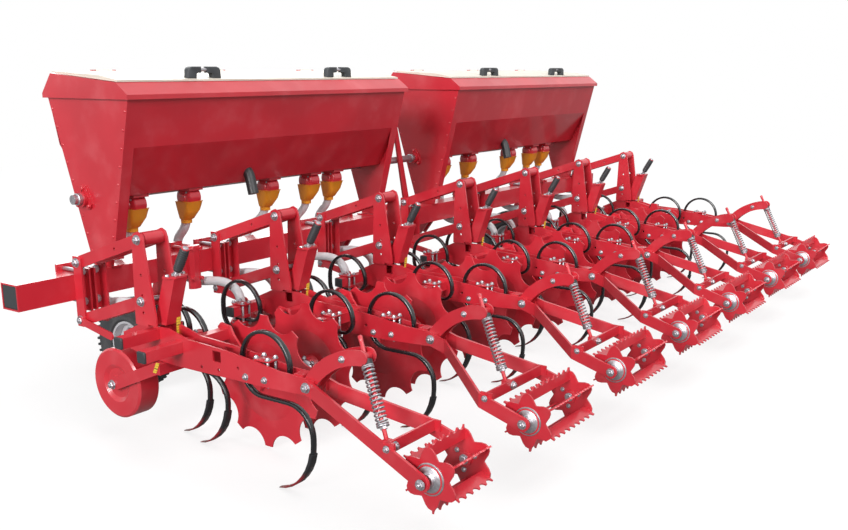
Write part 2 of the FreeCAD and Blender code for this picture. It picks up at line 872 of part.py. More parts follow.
def crop_disc(name, side):
    """A dished disc with pointed teeth; its hub stands towards the beam."""
    plate, dish = d.disc_plate, d.disc_dish
    hub, flat, rim = d.disc_hub_radius, d.disc_flat_radius, d.disc_radius
    bore = d.disc_axle_radius + d.running_gap
    outline = [(-dish, bore), (-dish, hub), (0, flat), (0, rim), (plate, rim), (plate, flat), (plate - dish, hub),
               (plate, hub - 12), (plate, bore)]
    disc = Piece(name)
    disc.turned([(side * size(x), radius) for x, radius in outline])
    notch = disc.pocket([(rim + d.disc_notch_out, 0, d.disc_notch_radius)], -plate * 2, plate * 2)
    disc.polar([notch], "disc_notches")
    return disc


def build_discs():
    right, left = crop_disc("crop_disc_right", 1), crop_disc("crop_disc_left", -1)
    y, z = d.disc_y, d.disc_z
    for number, (index, side) in enumerate(disc_sides(), start=1):
        disc = at(right if side > 0 else left, "disc_place_%d" % number, row_x(index) + side * d.disc_offset, y, z)
        node("crop_disc_%d" % number, [disc])
    holder = Piece("disc_holder")
    inner = d.disc_bar_reach
    outer = inner + d.disc_arm_plate
    by, bz = d.disc_bar_y, d.disc_bar_z
    half = d.bar_side / 2
    arm = [(by + 38, bz + 22), (by + 22, bz + 38), (by - 26, bz + 30), (by - 42, bz), (y - 22, z + 14),
           (y - 14, z - 20), (y + 14, z - 20), (y + 26, z), (by + 32, bz - 48)]
    holder.pad([arm], inner - d.disc_arm_plate, inner)
    holder.pocket([square(half, by, bz)], 0, outer)
    hub_face = d.disc_offset - d.disc_dish
    holder.pad([(y, z, 22)], inner, hub_face - 1)
    holder.pad([(y, z, d.disc_axle_radius)], hub_face - 2, d.disc_offset + d.disc_plate + 10)
    left_holder = doc.addObject("Part::Mirroring", "disc_holder_left")
    left_holder.Source = holder.body
    left_holder.Normal = X_AXIS
    holders = [at(holder if side > 0 else left_holder, "holder_%d_%d" % (index, side + 1), row_x(index))
               for index, side in disc_sides()]
    node("disc_holders", holders)


# ---------------------------------------------------------------- gauge wheels

def build_gauge_wheels():
    """Steel gauge wheel, its two arms on a saddle, and the depth crank above."""
    wheel = Piece("gauge_wheel")
    half, radius = d.gauge_width / 2, d.gauge_radius
    bore = d.gauge_axle_radius + d.running_gap
    half_section = [(0, bore), (half, bore), (half, 20), (half - 12, 30), (half - 12, 58), (half - 2, 74),
                    (half - 2, radius - 8), (half - 9, radius), (0, radius)]
    wheel.turned(half_section)
    wheel.mirror()
    for index in ROWS:
        placed = at(wheel, "gauge_place_%d" % index, row_x(index), d.gauge_y, d.gauge_z)
        node("gauge_wheel_%d" % (index + 1), [placed])

    inner = half + d.gauge_arm_gap
    outer = inner + d.gauge_arm_plate
    hub, saddle = (d.gauge_y, d.gauge_z), (d.saddle_y, d.saddle_z)
    fork = Piece("gauge_fork")
    slide_half = d.slide_side / 2
    saddle_block = square(20, *saddle)
    fork.pad([saddle_block], 0, outer)
    arm = [(saddle[0] - 12, saddle[1] - 16), (hub[0] - 10, hub[1] - 22), (hub[0] + 16, hub[1] - 18),
           (hub[0] + 24, hub[1]), (hub[0] + 14, hub[1] + 20), (saddle[0] + 14, saddle[1] + 20),
           (saddle[0] - 20, saddle[1] + 20)]
    fork.pad([arm], inner, outer)
    slide_end = d.spare_bar_z - d.bar_side
    slide = [(saddle[0] - slide_half, saddle[1]), (saddle[0] + slide_half, saddle[1]),
             (saddle[0] + slide_half, slide_end), (saddle[0] - slide_half, slide_end)]
    fork.pad([slide], 0, slide_half)
    fork.pad([(hub[0], hub[1], d.gauge_axle_radius)], 0, outer + 12)
    fork.mirror()

    column = Piece("depth_column")
    top, foot = d.adjuster_top_z, d.adjuster_foot_z
    lean = (d.adjuster_foot_y - d.adjuster_top_y) / (top - foot)
    side = d.adjuster_side / 2

    def slanted(half_width, low, high):
        """A leaning strip of the column between two heights."""
        low_y = d.adjuster_foot_y - (low - foot) * lean
        high_y = d.adjuster_foot_y - (high - foot) * lean
        return [(low_y - half_width, low), (low_y + half_width, low), (high_y + half_width, high),
                (high_y - half_width, high)]

    column.pad([slanted(side, foot, top)], 0, side)
    column.mirror()
    flange = Piece("column_flange")
    y0 = d.adjuster_top_y
    flange.pad([[(-46, y0 - 14), (-24, y0 - 33), (24, y0 - 33), (46, y0 - 14), (46, y0 + 14), (24, y0 + 33),
                 (-24, y0 + 33), (-46, y0 + 14)]], top, top + 7, "XY_Plane")
    lean_back = math.radians(30)
    heading = vec(0, -math.sin(lean_back), math.cos(lean_back))
    seat = vec(0, y0, top)
    spindle = shape_object("crank_spindle", Part.makeCylinder(9, 42, seat, heading))
    grip = shape_object("crank_grip", Part.makeCylinder(15, 96, seat + heading * 32, heading))
    crank = fuse("crank_whole", [flange.body, spindle, grip, column.body])
    node("depth_adjusters", at_rows(fork, "fork") + at_rows(crank, "crank"))


# ---------------------------------------------------------------- rollers

ROLLER_TURN = 26.0


def star_outline():
    """The rim of a star plate: a circle that swells into rounded lobes."""
    lobes, rim, valley = count_of("roller_lobes"), d.roller_radius, d.roller_valley
    steps = lobes * 8
    points = []
    for step in range(steps):
        angle = 2 * math.pi * step / steps
        swell = ((1 + math.cos(lobes * angle)) / 2) ** 0.8
        reach = valley + (rim - valley) * swell
        turned = angle + math.radians(ROLLER_TURN)
        points.append((reach * math.cos(turned), reach * math.sin(turned)))
    return points


def star_roller(name, left):
    """Two star plates with plated hubs, joined by scalloped bars that stand out radially."""
    right, thick = d.roller_right, d.roller_plate
    bore = d.roller_axle_radius + d.running_gap
    wheel = Piece(name + "_stars")
    hub = Piece(name + "_hubs")
    for side, face in ((-1, -left), (1, size(right))):
        wheel.pad([star_outline()], face, face - side * thick)
        boss, dish = face + side * 18, face + side * 8
        hub.turned([(face, bore), (face, d.roller_hub_radius), (face + side * 3, d.roller_hub_radius), (dish, 34),
                    (dish, 20), (boss, 20), (boss, bore)])
        inside = face - side * thick
        hub.turned([(inside, bore), (inside - side * 8, bore), (inside - side * 8, 24), (inside, 24)])
    tip = d.roller_radius + d.roller_tooth
    bar = Piece(name + "_bar")
    start, stop = thick - left, right - thick
    bar.pad([rectangle((start, stop), (d.roller_radius - 34, tip))], -3, 3, "XY_Plane")
    pitch = 37.0
    scallops = int((left.value + right.value) / pitch)
    first = (float(right) - float(left)) / 2.0 - pitch * (scallops - 1) / 2.0
    bar.pocket([(first + pitch * step, tip + 5, 17) for step in range(scallops)], -4, 4, "XY_Plane")
    bars = []
    lobes = count_of("roller_lobes")
    for step in range(lobes):
        turned = at(bar, "%s_bar_%d" % (name, step), 0)
        turned.Placement.Rotation = FreeCAD.Rotation(X_AXIS, ROLLER_TURN + 360.0 * step / lobes)
        bars.append(turned)
    bore_tool = rod_x(name + "_bore", bore, -left - 40, right + 40, size(0), size(0))
    return cut(name + "_whole", fuse(name + "_joined", [wheel.body, hub.body] + bars), bore_tool)


def roller_arm(name, side, bend, spread, outer):
    """A flat arm from the tail pin to the axle; bend and spread are (y) places of its two bends."""
    inner, plate = d.beam_half_width, d.arm_plate
    pivot, axle = (d.beam_tail_y, d.beam_tail_z), (d.roller_y, d.roller_z)
    front, rear = pivot[0] + 42, axle[0] - 40
    outline = [(inner, front), (inner + plate, front), (inner + plate, bend), (outer, spread), (outer, rear),
               (outer - plate, rear), (outer - plate, spread - 3), (inner, bend - 3)]
    plan = Piece(name + "_plan")
    plan.pad([[(side * x, y) for x, y in outline]], 0, 700, "XY_Plane")
    blank = shape_object(name + "_side", bar_shape(d.arm_height, pivot, axle, -400, 400))
    arm = doc.addObject("Part::Common", name + "_plate")
    arm.Base, arm.Tool = plan.body, blank
    return arm


def build_rollers():
    """Rollers between splayed arms: the outer left one is narrow, the others reach further left."""
    narrow = star_roller("narrow_roller", d.roller_narrow_left)
    wide = star_roller("wide_roller", d.roller_wide_left)
    y, z = d.roller_y, d.roller_z
    for index in ROWS:
        whole = wide if index > FIRST_ROW else narrow
        node("roller_%d" % (index + 1), [at(whole, "roller_place_%d" % index, row_x(index), y, z)])

    inner, plate = d.beam_half_width, d.arm_plate
    bend, spread = d.arm_bend_y, d.arm_spread_y
    right_arm = roller_arm("right_arm", 1, bend, spread, d.arm_right)
    narrow_arm = roller_arm("narrow_left_arm", -1, d.beam_tail_y - 22, d.roller_y - 38, d.arm_narrow_left)
    wide_arm = roller_arm("wide_left_arm", -1, bend, spread, d.arm_wide_left)
    strap_y, strap_z = d.cross_strap_y, d.cross_strap_z
    foot_x, foot_y = d.spring_foot_x, strap_y + d.spring_foot_ahead
    right_face = d.arm_right - plate
    pin_bore = rod_x("arm_pin_bore", d.tail_pin_radius, -inner - plate - 1, inner + plate + 1, d.beam_tail_y,
                     d.beam_tail_z)
    pairs = []
    for name, left_arm, left_face, hub_face, outer in (
        ("narrow", narrow_arm, size(106), d.roller_narrow_left, d.arm_narrow_left),
        ("wide", wide_arm, d.arm_wide_left - plate, d.roller_wide_left, d.arm_wide_left),
    ):
        flange_y, flange_z = (strap_y - 24, strap_y + 24), (strap_z - 19, strap_z + 19)
        lug_z = (strap_z - 14, strap_z + 14)
        lug = box(name + "_spring_lug", (foot_x - 14, foot_x + 14), (strap_y, foot_y + 13), lug_z)
        strap = box(name + "_strap", (-left_face, right_face), (strap_y - 4, strap_y + 4), flange_z)
        left_flange = box(name + "_left_flange", (-left_face - 2, -left_face + 7), flange_y, flange_z)
        right_flange = box(name + "_right_flange", (right_face - 7, right_face), flange_y, flange_z)
        left_axle = rod_x(name + "_left_axle", d.roller_axle_radius, -outer - 8, 4 - hub_face, y, z)
        right_axle = rod_x(name + "_right_axle", d.roller_axle_radius, d.roller_right - 4, d.arm_right + 8, y, z)
        pieces = [left_arm, right_arm, strap, left_flange, right_flange, lug, left_axle, right_axle]
        whole = fuse(name + "_arms_joined", pieces)
        bores = fuse(name + "_arm_bores", [spring_rod(name + "_seat_bore", 0.5), pin_bore])
        pairs.append(cut(name + "_arms", whole, bores))
    narrow_pair, wide_pair = pairs
    pair_of = {index: wide_pair if index > FIRST_ROW else narrow_pair for index in ROWS}
    node("roller_arms", [at(pair_of[index], "arms_%d" % index, row_x(index)) for index in ROWS])


# ---------------------------------------------------------------- arches and springs

def spring_line():
    """Top swivel, foot on the cross strap's lug, and the heading between them."""
    top = vec(0, d.arch_end_y, d.arch_end_z)
    foot = vec(d.spring_foot_x, d.cross_strap_y + d.spring_foot_ahead, d.cross_strap_z)
    return top, foot, (foot - top).normalize()


def spring_rod(name, extra):
    top, foot, lean = spring_line()
    start, end = top - lean * 70, foot + lean * 20
    radius = float(d.spring_rod_radius) + extra
    return shape_object(name, Part.makeCylinder(radius, (end - start).Length, start, lean))


def build_springs():
    top, foot, lean = spring_line()
    guide = spring_rod("spring_guide", 0)
    start, end = top + lean * 42, foot - lean * 58
    coil = shape_object("spring_coil", Part.makeCylinder(float(d.spring_radius), (end - start).Length, start, lean))
    whole = fuse("spring_whole", [guide, coil])
    node("springs", at_rows(whole, "spring"))


def build_arches():
    """Curved plates inside the beam tail that hold the spring's swivel."""
    outer = d.beam_half_width - d.plate
    inner = outer - d.arch_plate
    steps = [("line", 22), ("arc", d.arch_radius, 54)]
    start = (d.arch_start_y, d.arch_start_z)
    end = (d.arch_end_y, d.arch_end_z)
    band = strip(steps, start, 122, d.arch_width, float(inner), float(outer))
    rounding = Part.makeCylinder(float(d.arch_width) / 2.0, float(outer - inner), vec(inner, *end), X_AXIS)
    plate = shape_object("arch_band", band.fuse(rounding).removeSplitter())
    swivel_bore = rod_x("arch_bore", 12, inner - 1, outer + 1, *end)
    pivot_bore = rod_x("arch_pivot_bore", d.tail_pin_radius, inner - 1, outer + 1, d.beam_tail_y, d.beam_tail_z)
    spacer_clear = box("arch_spacer_clear", (0, outer + 1), (-481, -400), (380, 441))
    right = cut("arch_right", plate, fuse("arch_cuts", [swivel_bore, pivot_bore, spacer_clear]))
    left = doc.addObject("Part::Mirroring", "arch_left")
    left.Source = right
    left.Normal = X_AXIS
    swivel = rod_x("arch_swivel", 12, -outer, outer, *end)
    swivel_cut = cut("arch_swivel_bored", swivel, spring_rod("swivel_bore", 0.5))
    pin_end = d.beam_half_width + d.arm_plate + 12
    tail_pin = rod_x("arm_pivot_pin", d.tail_pin_radius, -pin_end, pin_end, d.beam_tail_y, d.beam_tail_z)
    whole = at_rows(right, "arch_r") + at_rows(left, "arch_l") + at_rows(swivel_cut, "swivel")
    node("arch_plates", whole + at_rows(tail_pin, "tail_pin"))


# ---------------------------------------------------------------- support wheels

def build_support_wheels():
    y, z = d.support_y, d.support_radius
    half, radius, rim = d.support_width / 2, d.support_radius, d.support_rim_radius
    bore = d.support_axle_radius + d.running_gap
    tyre = Piece("support_tyre")
    tyre.turned([(0, rim), (half - 12, rim), (half, rim + 26), (half, radius - 34), (half - 10, radius - 14),
                 (half - 26, radius - 3), (0, radius)])
    tyre.mirror()
    wheel = Piece("support_rim")
    wheel.turned([(0, bore), (half - 5, bore), (half - 5, 30), (10, 38), (10, rim - 18), (half - 12, rim - 10),
                  (half - 12, rim), (0, rim)])
    wheel.mirror()
    leg = Piece("wheel_leg")
    inner, outer = half + 10, half + 10 + d.support_leg_plate
    outline = [(FRONT, DECK), (FRONT + 60, DECK), (y + 30, z + 10), (y + 20, z - 25), (y - 20, z - 25),
               (y - 34, z + 6), (FRONT, UNDER - 40)]
    leg.pad([outline], inner, outer)
    near, far = inner + 12, inner + 12 + d.leg_clamp_width
    flange = [(inner, UNDER - 10), (near, UNDER - 10), (near, UNDER - 84), (far, UNDER - 84), (far, DECK + 32),
              (near, DECK + 32), (near, DECK + 10), (inner, DECK + 10)]
    leg.pad([flange], FRONT, FRONT + 14, "XZ_Plane")
    saddle = [(near, REAR), (near, REAR - 12), (near + 16, REAR - 26), (far - 16, REAR - 26), (far, REAR - 12),
              (far, REAR)]
    leg.pad([saddle], UNDER - 60, DECK + 28, "XY_Plane")
    ties = [(x, z, d.leg_tie_radius) for x in (near + 10, far - 10) for z in (UNDER - 15, DECK + 15)]
    leg.pad(ties, REAR - 34, FRONT + 24, "XZ_Plane")
    leg.pad([(y, z, 24)], half, inner)
    leg.pad([(y, z, d.support_axle_radius)], -half - 4, inner)
    twin = doc.addObject("Part::Mirroring", "wheel_leg_twin")
    twin.Source = leg.body
    twin.Normal = X_AXIS
    for name, side in (("left", -1), ("right", 1)):
        x = side * d.support_x
        node("support_tyre_" + name, [at(tyre, "tyre_" + name, x, y, z)])
        node("support_rim_" + name, [at(wheel, "rim_" + name, x, y, z)])
    node("wheel_legs", [at(leg, "leg_left", -d.support_x), at(twin, "leg_right", d.support_x)])


# ---------------------------------------------------------------- hoppers

def hopper_outline(inset, rise=0):
    """The box in side view, drawn in by inset and left open at the top by rise."""
    top, fold, floor = d.hopper_top_z, d.hopper_fold_z, d.hopper_floor_z + inset
    half = d.hopper_floor_width / 2 - inset
    rear, front = d.hopper_rear_y + inset, d.hopper_front_y - inset
    slope = (d.toolbar_y - d.hopper_foot_width / 2 - d.hopper_rear_y) / (top - DECK)
    drop = (top - fold) * slope
    return [(rear, top + rise), (rear, top), (rear + drop, fold), (d.toolbar_y - half, floor),
            (d.toolbar_y + half, floor), (front - drop, fold), (front, top), (front, top + rise)]


def rectangle(x, y):
    return [(x[0], y[0]), (x[1], y[0]), (x[1], y[1]), (x[0], y[1])]


def build_hopper(name, side):
    """Sheet box with a fold, trapezoid end plates, end flanges and a hood."""
    wall, over = d.hopper_wall, d.hood_overhang
    rear, front, top = d.hopper_rear_y, d.hopper_front_y, d.hopper_top_z
    foot = d.hopper_foot_width / 2
    a, b = between(side * d.hopper_inner_x, side * d.hopper_outer_x)
    hopper = Piece("hopper_%s_box" % name)
    end = [(rear, top), (d.toolbar_y - foot, DECK), (d.toolbar_y + foot, DECK), (front, top)]
    for start, stop in ((a, a + wall), (b - wall, b)):
        hopper.pad([end], start, stop)
    solid = hopper_outline(0)[1:-1]
    hopper.pad([solid], a + wall, b - wall)
    hopper.pocket([hopper_outline(wall, 1)], a + wall, b - wall)

    slope = (d.toolbar_y - foot - rear) / (top - DECK)
    low = DECK + 30
    flange_rear = [(rear, top), (rear + (top - low) * slope, low), (rear + (top - low) * slope + wall * 1.2, low),
                   (rear + wall * 1.2, top)]
    for start, stop in ((a + wall, a + d.hopper_flange), (b - d.hopper_flange, b - wall)):
        hopper.pad([flange_rear], start, stop)
    foot_y = (d.toolbar_y - foot, d.toolbar_y + foot)
    for start, stop in ((a, a + d.hopper_flange), (b - d.hopper_flange, b)):
        hopper.pad([rectangle((start, stop), foot_y)], DECK, DECK + 6, "XY_Plane")

    rim_z = top - 6
    lip = rim_z + d.hood_lip
    hood = [(rear - over, rim_z), (rear - over, lip), (d.hood_rear_y, d.hood_rear_z),
            (d.hood_front_y, d.hood_front_z), (front + over, lip), (front + over, rim_z)]
    under = [(rear - over + wall, rim_z - 1), (rear - over + wall, lip - 1),
             (d.hood_rear_y + wall, d.hood_rear_z - wall), (d.hood_front_y - wall, d.hood_front_z - wall),
             (front + over - wall, lip - 1), (front + over - wall, rim_z - 1)]
    cover = Piece("hopper_%s_hood" % name)
    cover.pad([hood], a - over, b + over)
    cover.pocket([under], a - over + wall, b + over - wall)
    mouth_x = (a + d.hood_rim, b - d.hood_rim)
    mouth_y = (d.hood_rear_y + d.hood_rim, d.hood_front_y - d.hood_rim)
    cover.pocket([rectangle(mouth_x, mouth_y)], top, d.hood_front_z + 20, "XY_Plane")
    rim = rectangle((a - over, b + over), (rear - over, front + over))
    hole = rectangle((a + wall, b - wall), (rear + wall, front - wall))
    cover.pad([rim, hole], rim_z, top - 3, "XY_Plane")
    parts = [hopper.body, cover.body]
    for number, x in enumerate(hinge_places(side)):
        parts.append(hinge_bracket("hopper_%s_hinge_%d" % (name, number), x))
    bearing = Piece("hopper_%s_bearings" % name)
    by, bz = d.shaft_y, d.shaft_z
    flange = [(by - 14, bz + 52), (by + 14, bz + 52), (by + 40, bz + 8), (by + 48, bz - 20), (by + 36, bz - 40),
              (by - 36, bz - 40), (by - 48, bz - 20), (by - 40, bz + 8)]
    for face, outward in ((a, -1), (b, 1)):
        bearing.pad([flange], face, face + outward * 8)
        bearing.pad([(by, bz, 32)], face, face + outward * 24)
    parts.append(bearing.body)
    joined = fuse("hopper_%s_joined" % name, parts)
    shaft = rod_x("hopper_%s_shaft_hole" % name, d.shaft_radius + 2, a - 40, b + 40, d.shaft_y, d.shaft_z)
    node("hopper_" + name, [cut("hopper_%s_bored" % name, joined, shaft)])


def hinge_places(side):
    middle = side * (d.hopper_inner_x + d.hopper_outer_x) / 2
    for shift in (-620, 0, 620):
        yield middle + shift


HINGE_Y = d.hood_front_y + d.lid_hinge_ahead
HINGE_Z = d.hood_front_z + d.lid_gap + 2


def hinge_bracket(name, x):
    """Two hopper knuckles with the hinge pin between them."""
    bracket = Piece(name)
    knuckle = [(HINGE_Y - 3, d.hood_front_z - 38), (HINGE_Y + 12, d.hood_front_z - 38), (HINGE_Y + 9, HINGE_Z + 6),
               (HINGE_Y - 5, HINGE_Z + 6), (HINGE_Y - 7, HINGE_Z - 4)]
    for side in (-1, 1):
        bracket.pad([knuckle], x + side * 41, x + side * 58)
    bracket.pad([(HINGE_Y, HINGE_Z, d.lid_pin_radius)], x - 42, x + 42)
    return bracket.body


def build_lid(name, side):
    """A shallow curved cover with hinge barrels in front and two handles behind."""
    over, thick, gap = d.hood_overhang, d.lid_thick, d.lid_gap
    a, b = between(side * d.hopper_inner_x, side * d.hopper_outer_x)
    y0, z0 = d.hood_rear_y, d.hood_rear_z + gap
    y1, z1 = d.hood_front_y, d.hood_front_z + gap
    start, stop = a - over + 8, b + over - 8
    middle_y, middle_z = (y0 + y1) / 2, (z0 + z1) / 2 + 10
    outline = [(y0, z0), (middle_y - 90, middle_z - 12), (middle_y + 90, middle_z), (y1, z1), (y1, z1 + thick),
               (middle_y + 90, middle_z + thick), (middle_y - 90, middle_z + thick - 8), (y0, z0 + thick)]
    lid = Piece("lid_%s_sheet" % name)
    lid.pad([outline], start, stop)
    for x in hinge_places(side):
        lid.pad([(HINGE_Y, HINGE_Z, d.lid_barrel_radius)], x - 38, x + 38)
        strap = [(y1 - 20, z1 - 0.5), (HINGE_Y, HINGE_Z - 2), (HINGE_Y, HINGE_Z + 4), (y1 - 20, z1 + thick)]
        lid.pad([strap], x - 38, x + 38)
    lid.holes([(HINGE_Y, HINGE_Z, d.lid_pin_radius + d.running_gap)], a, b)
    node("lid_" + name, [lid])
    handles = []
    for number, shift in enumerate((-d.handle_offset, d.handle_offset)):
        x = (a + b) / 2 + shift
        reach = d.handle_length / 2
        base = z0 + thick + 1.5
        handle = Piece("handle_%s_%d" % (name, number))
        for sign in (-1, 1):
            handle.pad([rectangle((x + sign * (reach - 26), x + sign * reach), (y0 + 14, y0 + 42))], base, base + 8,
                       "XY_Plane")
            handle.pad([rectangle((x + sign * (reach - 20), x + sign * (reach - 4)), (y0 + 18, y0 + 38))], base,
                       base + 44, "XY_Plane")
        grip = rectangle((x - reach + 4, x + reach - 4), (y0 + 16, y0 + 40))
        handle.pad([grip], base + 30, base + 48, "XY_Plane")
        handles.append(cut("handle_%s_%d_seated" % (name, number), handle.body, lid.body))
    node("lid_handles_" + name, handles)


# ---------------------------------------------------------------- metering and delivery

METER_OFFSETS = (-695, -405, 80, 370, 540)


def build_metering():
    """Seed-wheel housings under each hopper with funnels and hoses below."""
    y, floor = d.toolbar_y, d.hopper_floor_z
    meter = Piece("meter_housing")
    half = d.meter_length / 2
    body_z = floor - d.meter_radius - 2
    meter.pad([(y, body_z, d.meter_radius)], -half, half)
    neck = rectangle((-half - 10, half + 10), (y - 48, y + 48))
    meter.pad([neck], floor - 14, floor, "XY_Plane")
    chute = [(y - 30, body_z - 52), (y + 22, body_z - 52), (y + 40, body_z), (y - 42, body_z)]
    meter.pad([chute], -half + 6, half - 6)
    top_z = body_z - 52
    mouth = vec(0, y, top_z - d.funnel_height)
    cone = Part.makeCone(float(d.hose_radius) + 4, 46, float(d.funnel_height), mouth, Z_AXIS)
    slot = Part.makeBox(200, 60, 200, vec(-100, float(y) + 30, float(top_z) - 150))
    funnel = shape_object("funnel_cone", cone.cut(slot))
    meters, funnels = [], []
    for side in (-1, 1):
        centre = side * (d.hopper_inner_x + d.hopper_outer_x) / 2
        for number, offset in enumerate(METER_OFFSETS):
            word = "%d_%d" % (side + 1, number)
            meters.append(at(meter, "meter_" + word, centre + offset))
            funnels.append(at(funnel, "funnel_" + word, centre + offset))
    node("metering_units", meters)
    node("funnels", funnels)
    return top_z - d.funnel_height


# Each meter feeds the boot on this row's left (-1) or right (1) side.
DELIVERY = {
    -1: ((0, 1), (1, -1), (1, 1), (2, -1), (2, 1)),
    1: ((4, -1), (4, 1), (5, -1), (5, 1), (6, -1)),
}


def build_hoses(mouth_z):
    """Hoses in front of the toolbar and under it to the boots on the row units."""
    hoses, radii = [], []
    for side in (-1, 1):
        centre = float(side * (d.hopper_inner_x + d.hopper_outer_x) / 2)
        for offset, (index, boot_side) in zip(METER_OFFSETS, DELIVERY[side]):
            x0 = centre + offset
            x1 = float(row_x(index) + boot_side * d.boot_offset)
            shift = x1 - x0
            top, ahead = float(mouth_z), float(FRONT) + 42
            bend_z = float(d.boot_top_z) + 47
            points = [
                vec(x0, d.toolbar_y, top),
                vec(x0, d.toolbar_y, top - 18),
                vec(x0 + 0.8 * shift, ahead, float(DECK) + 45),
                vec(x0 + 0.95 * shift, ahead + 8, float(UNDER) - 24),
                vec(x1, float(REAR) - 16, float(UNDER) - 59),
                vec(x1, float(d.boot_y) + 88, bend_z + 37),
                vec(x1, d.boot_y, bend_z),
                vec(x1, d.boot_y, d.boot_foot_z + 50),
            ]
            hose = shape_object("hose_%d_%d" % (side + 1, len(hoses)), bent_rod(d.hose_radius, points))
            hoses.append(hose)
            radii.append(hose.Shape.Volume / (math.pi * float(d.hose_radius) ** 2))
    node("hoses", hoses)
    print("hose lengths", ", ".join("%.0f" % length for length in radii))


def build_boots():
    """Steel delivery tubes on straps in front of the front bars."""
    boot = Piece("delivery_boot")
    outer = d.hose_radius + 4
    boot.pad([(0, d.boot_y, outer)], d.boot_foot_z, d.boot_top_z, "XY_Plane")
    bar_face = d.front_bar_y + d.bar_side / 2
    strap = rectangle((-16, 16), (bar_face, bar_face + 4))
    boot.pad([strap], d.boot_top_z - 60, d.front_bar_z + d.bar_side / 2 - 4, "XY_Plane")
    boot.pocket([(0, d.boot_y, d.hose_radius + 0.5)], d.boot_foot_z - 1, d.boot_top_z + 1, "XY_Plane")
    boots = []
    for side in (-1, 1):
        for index, boot_side in DELIVERY[side]:
            name = "boot_%d_%d" % (index, boot_side + 1)
            boots.append(at(boot, name, row_x(index) + boot_side * d.boot_offset))
    node("delivery_boots", boots)


def build_spouts_and_shaft():
    """Drain spouts behind the hoppers and the meter shaft through both."""
    floor = float(d.hopper_floor_z)
    spouts = []
    for side in (-1, 1):
        centre = float(side * (d.hopper_inner_x + d.hopper_outer_x) / 2) - 130
        points = [vec(centre, 655, floor + 70), vec(centre - 4, 610, floor + 40), vec(centre - 10, 582, floor - 50)]
        trough = Part.makePolygon([vec(centre - 60, y, z) for y, z in hopper_outline(0) + hopper_outline(0)[:1]])
        spout = bent_rod(24, points).cut(Part.Face(trough).extrude(vec(120, 0, 0)))
        spouts.append(shape_object("spout_%d" % (side + 1), spout))
    node("drain_spouts", spouts)
    reach = d.hopper_outer_x + 58
    shaft = rod_x("meter_shaft", d.shaft_radius, -reach, reach, d.shaft_y, d.shaft_z)
    node("drive_shaft", [shaft])


build_toolbar()
build_hitch()
build_brackets()
build_links()
build_hangers()
build_beams()
build_cross_bars()
build_tines()
build_discs()
build_gauge_wheels()
build_rollers()
build_springs()
build_arches()
build_support_wheels()
for hopper_name, hopper_side in (("left", -1), ("right", 1)):
    build_hopper(hopper_name, hopper_side)
    build_lid(hopper_name, hopper_side)
FUNNEL_MOUTH_Z = build_metering()
build_hoses(FUNNEL_MOUTH_Z)
build_boots()
build_spouts_and_shaft()


# ---------------------------------------------------------------- checks and export

def check_document():
    """Stop on a failed object, a cut that removes nothing or a bad shape."""
    for obj in doc.Objects:
        for state in obj.State:
            if state in ("Invalid", "Error"):
                raise RuntimeError("%s is %s" % (obj.Label, state))
        if obj.TypeId == "PartDesign::Pocket" and obj.Shape.Volume > obj.BaseFeature.Shape.Volume - 0.1:
            raise RuntimeError("%s cuts nothing" % obj.Label)
    for obj in NODES:
        if obj.Shape.isNull() or not obj.Shape.isValid():
            raise RuntimeError("%s has no valid shape" % obj.Label)


doc.recompute()
check_document()
os.makedirs("parts", exist_ok=True)
for obj in NODES:
    obj.Shape.exportStep("parts/%s.step" % obj.Label)
    limits = obj.Shape.BoundBox
    print("%-18s %3d solids %8.0f cm3  x %.0f..%.0f y %.0f..%.0f z %.0f..%.0f" % (
        obj.Label, len(obj.Shape.Solids), obj.Shape.Volume / 1000.0,
        limits.XMin, limits.XMax, limits.YMin, limits.YMax, limits.ZMin, limits.ZMax))
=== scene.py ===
import collections
import math

import bpy
import numpy as np
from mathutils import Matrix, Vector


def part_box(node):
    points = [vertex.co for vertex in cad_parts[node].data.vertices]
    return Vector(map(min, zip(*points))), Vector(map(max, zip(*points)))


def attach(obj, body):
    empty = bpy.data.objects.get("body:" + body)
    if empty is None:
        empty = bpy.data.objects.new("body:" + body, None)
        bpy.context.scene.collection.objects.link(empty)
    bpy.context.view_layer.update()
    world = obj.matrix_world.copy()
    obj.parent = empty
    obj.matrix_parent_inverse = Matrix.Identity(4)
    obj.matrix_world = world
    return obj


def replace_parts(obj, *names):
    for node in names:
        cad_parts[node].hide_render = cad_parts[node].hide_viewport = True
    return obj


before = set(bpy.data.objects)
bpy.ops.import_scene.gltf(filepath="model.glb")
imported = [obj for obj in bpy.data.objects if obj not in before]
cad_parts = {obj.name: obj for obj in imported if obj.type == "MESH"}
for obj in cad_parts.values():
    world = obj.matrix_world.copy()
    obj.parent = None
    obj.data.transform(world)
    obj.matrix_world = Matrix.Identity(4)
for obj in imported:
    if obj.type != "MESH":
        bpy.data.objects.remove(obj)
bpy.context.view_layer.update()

bl_info = {
    "name": "Inter-row cultivator finish",
    "version": (1, 0, 0),
    "blender": (4, 5, 0),
    "location": "3D View > Sidebar > Cultivator",
    "description": "Finishes and fine pieces for a seven-row cultivator with two fertiliser hoppers",
    "category": "Object",
}


# ---- settings


def colour_setting(name, description, default):
    """A colour with its name, as linear red, green and blue."""
    return bpy.props.FloatVectorProperty(
        name=name, description=description, default=default, size=3, min=0.0, max=1.0, subtype="COLOR"
    )


def length_setting(name, description, default):
    """A length in metres."""
    return bpy.props.FloatProperty(
        name=name, description=description, default=default, min=0.0, subtype="DISTANCE", unit="LENGTH"
    )


def angle_setting(name, description, degrees):
    """An angle, given in degrees and held in radians."""
    return bpy.props.FloatProperty(
        name=name, description=description, default=math.radians(degrees), subtype="ANGLE", unit="ROTATION"
    )


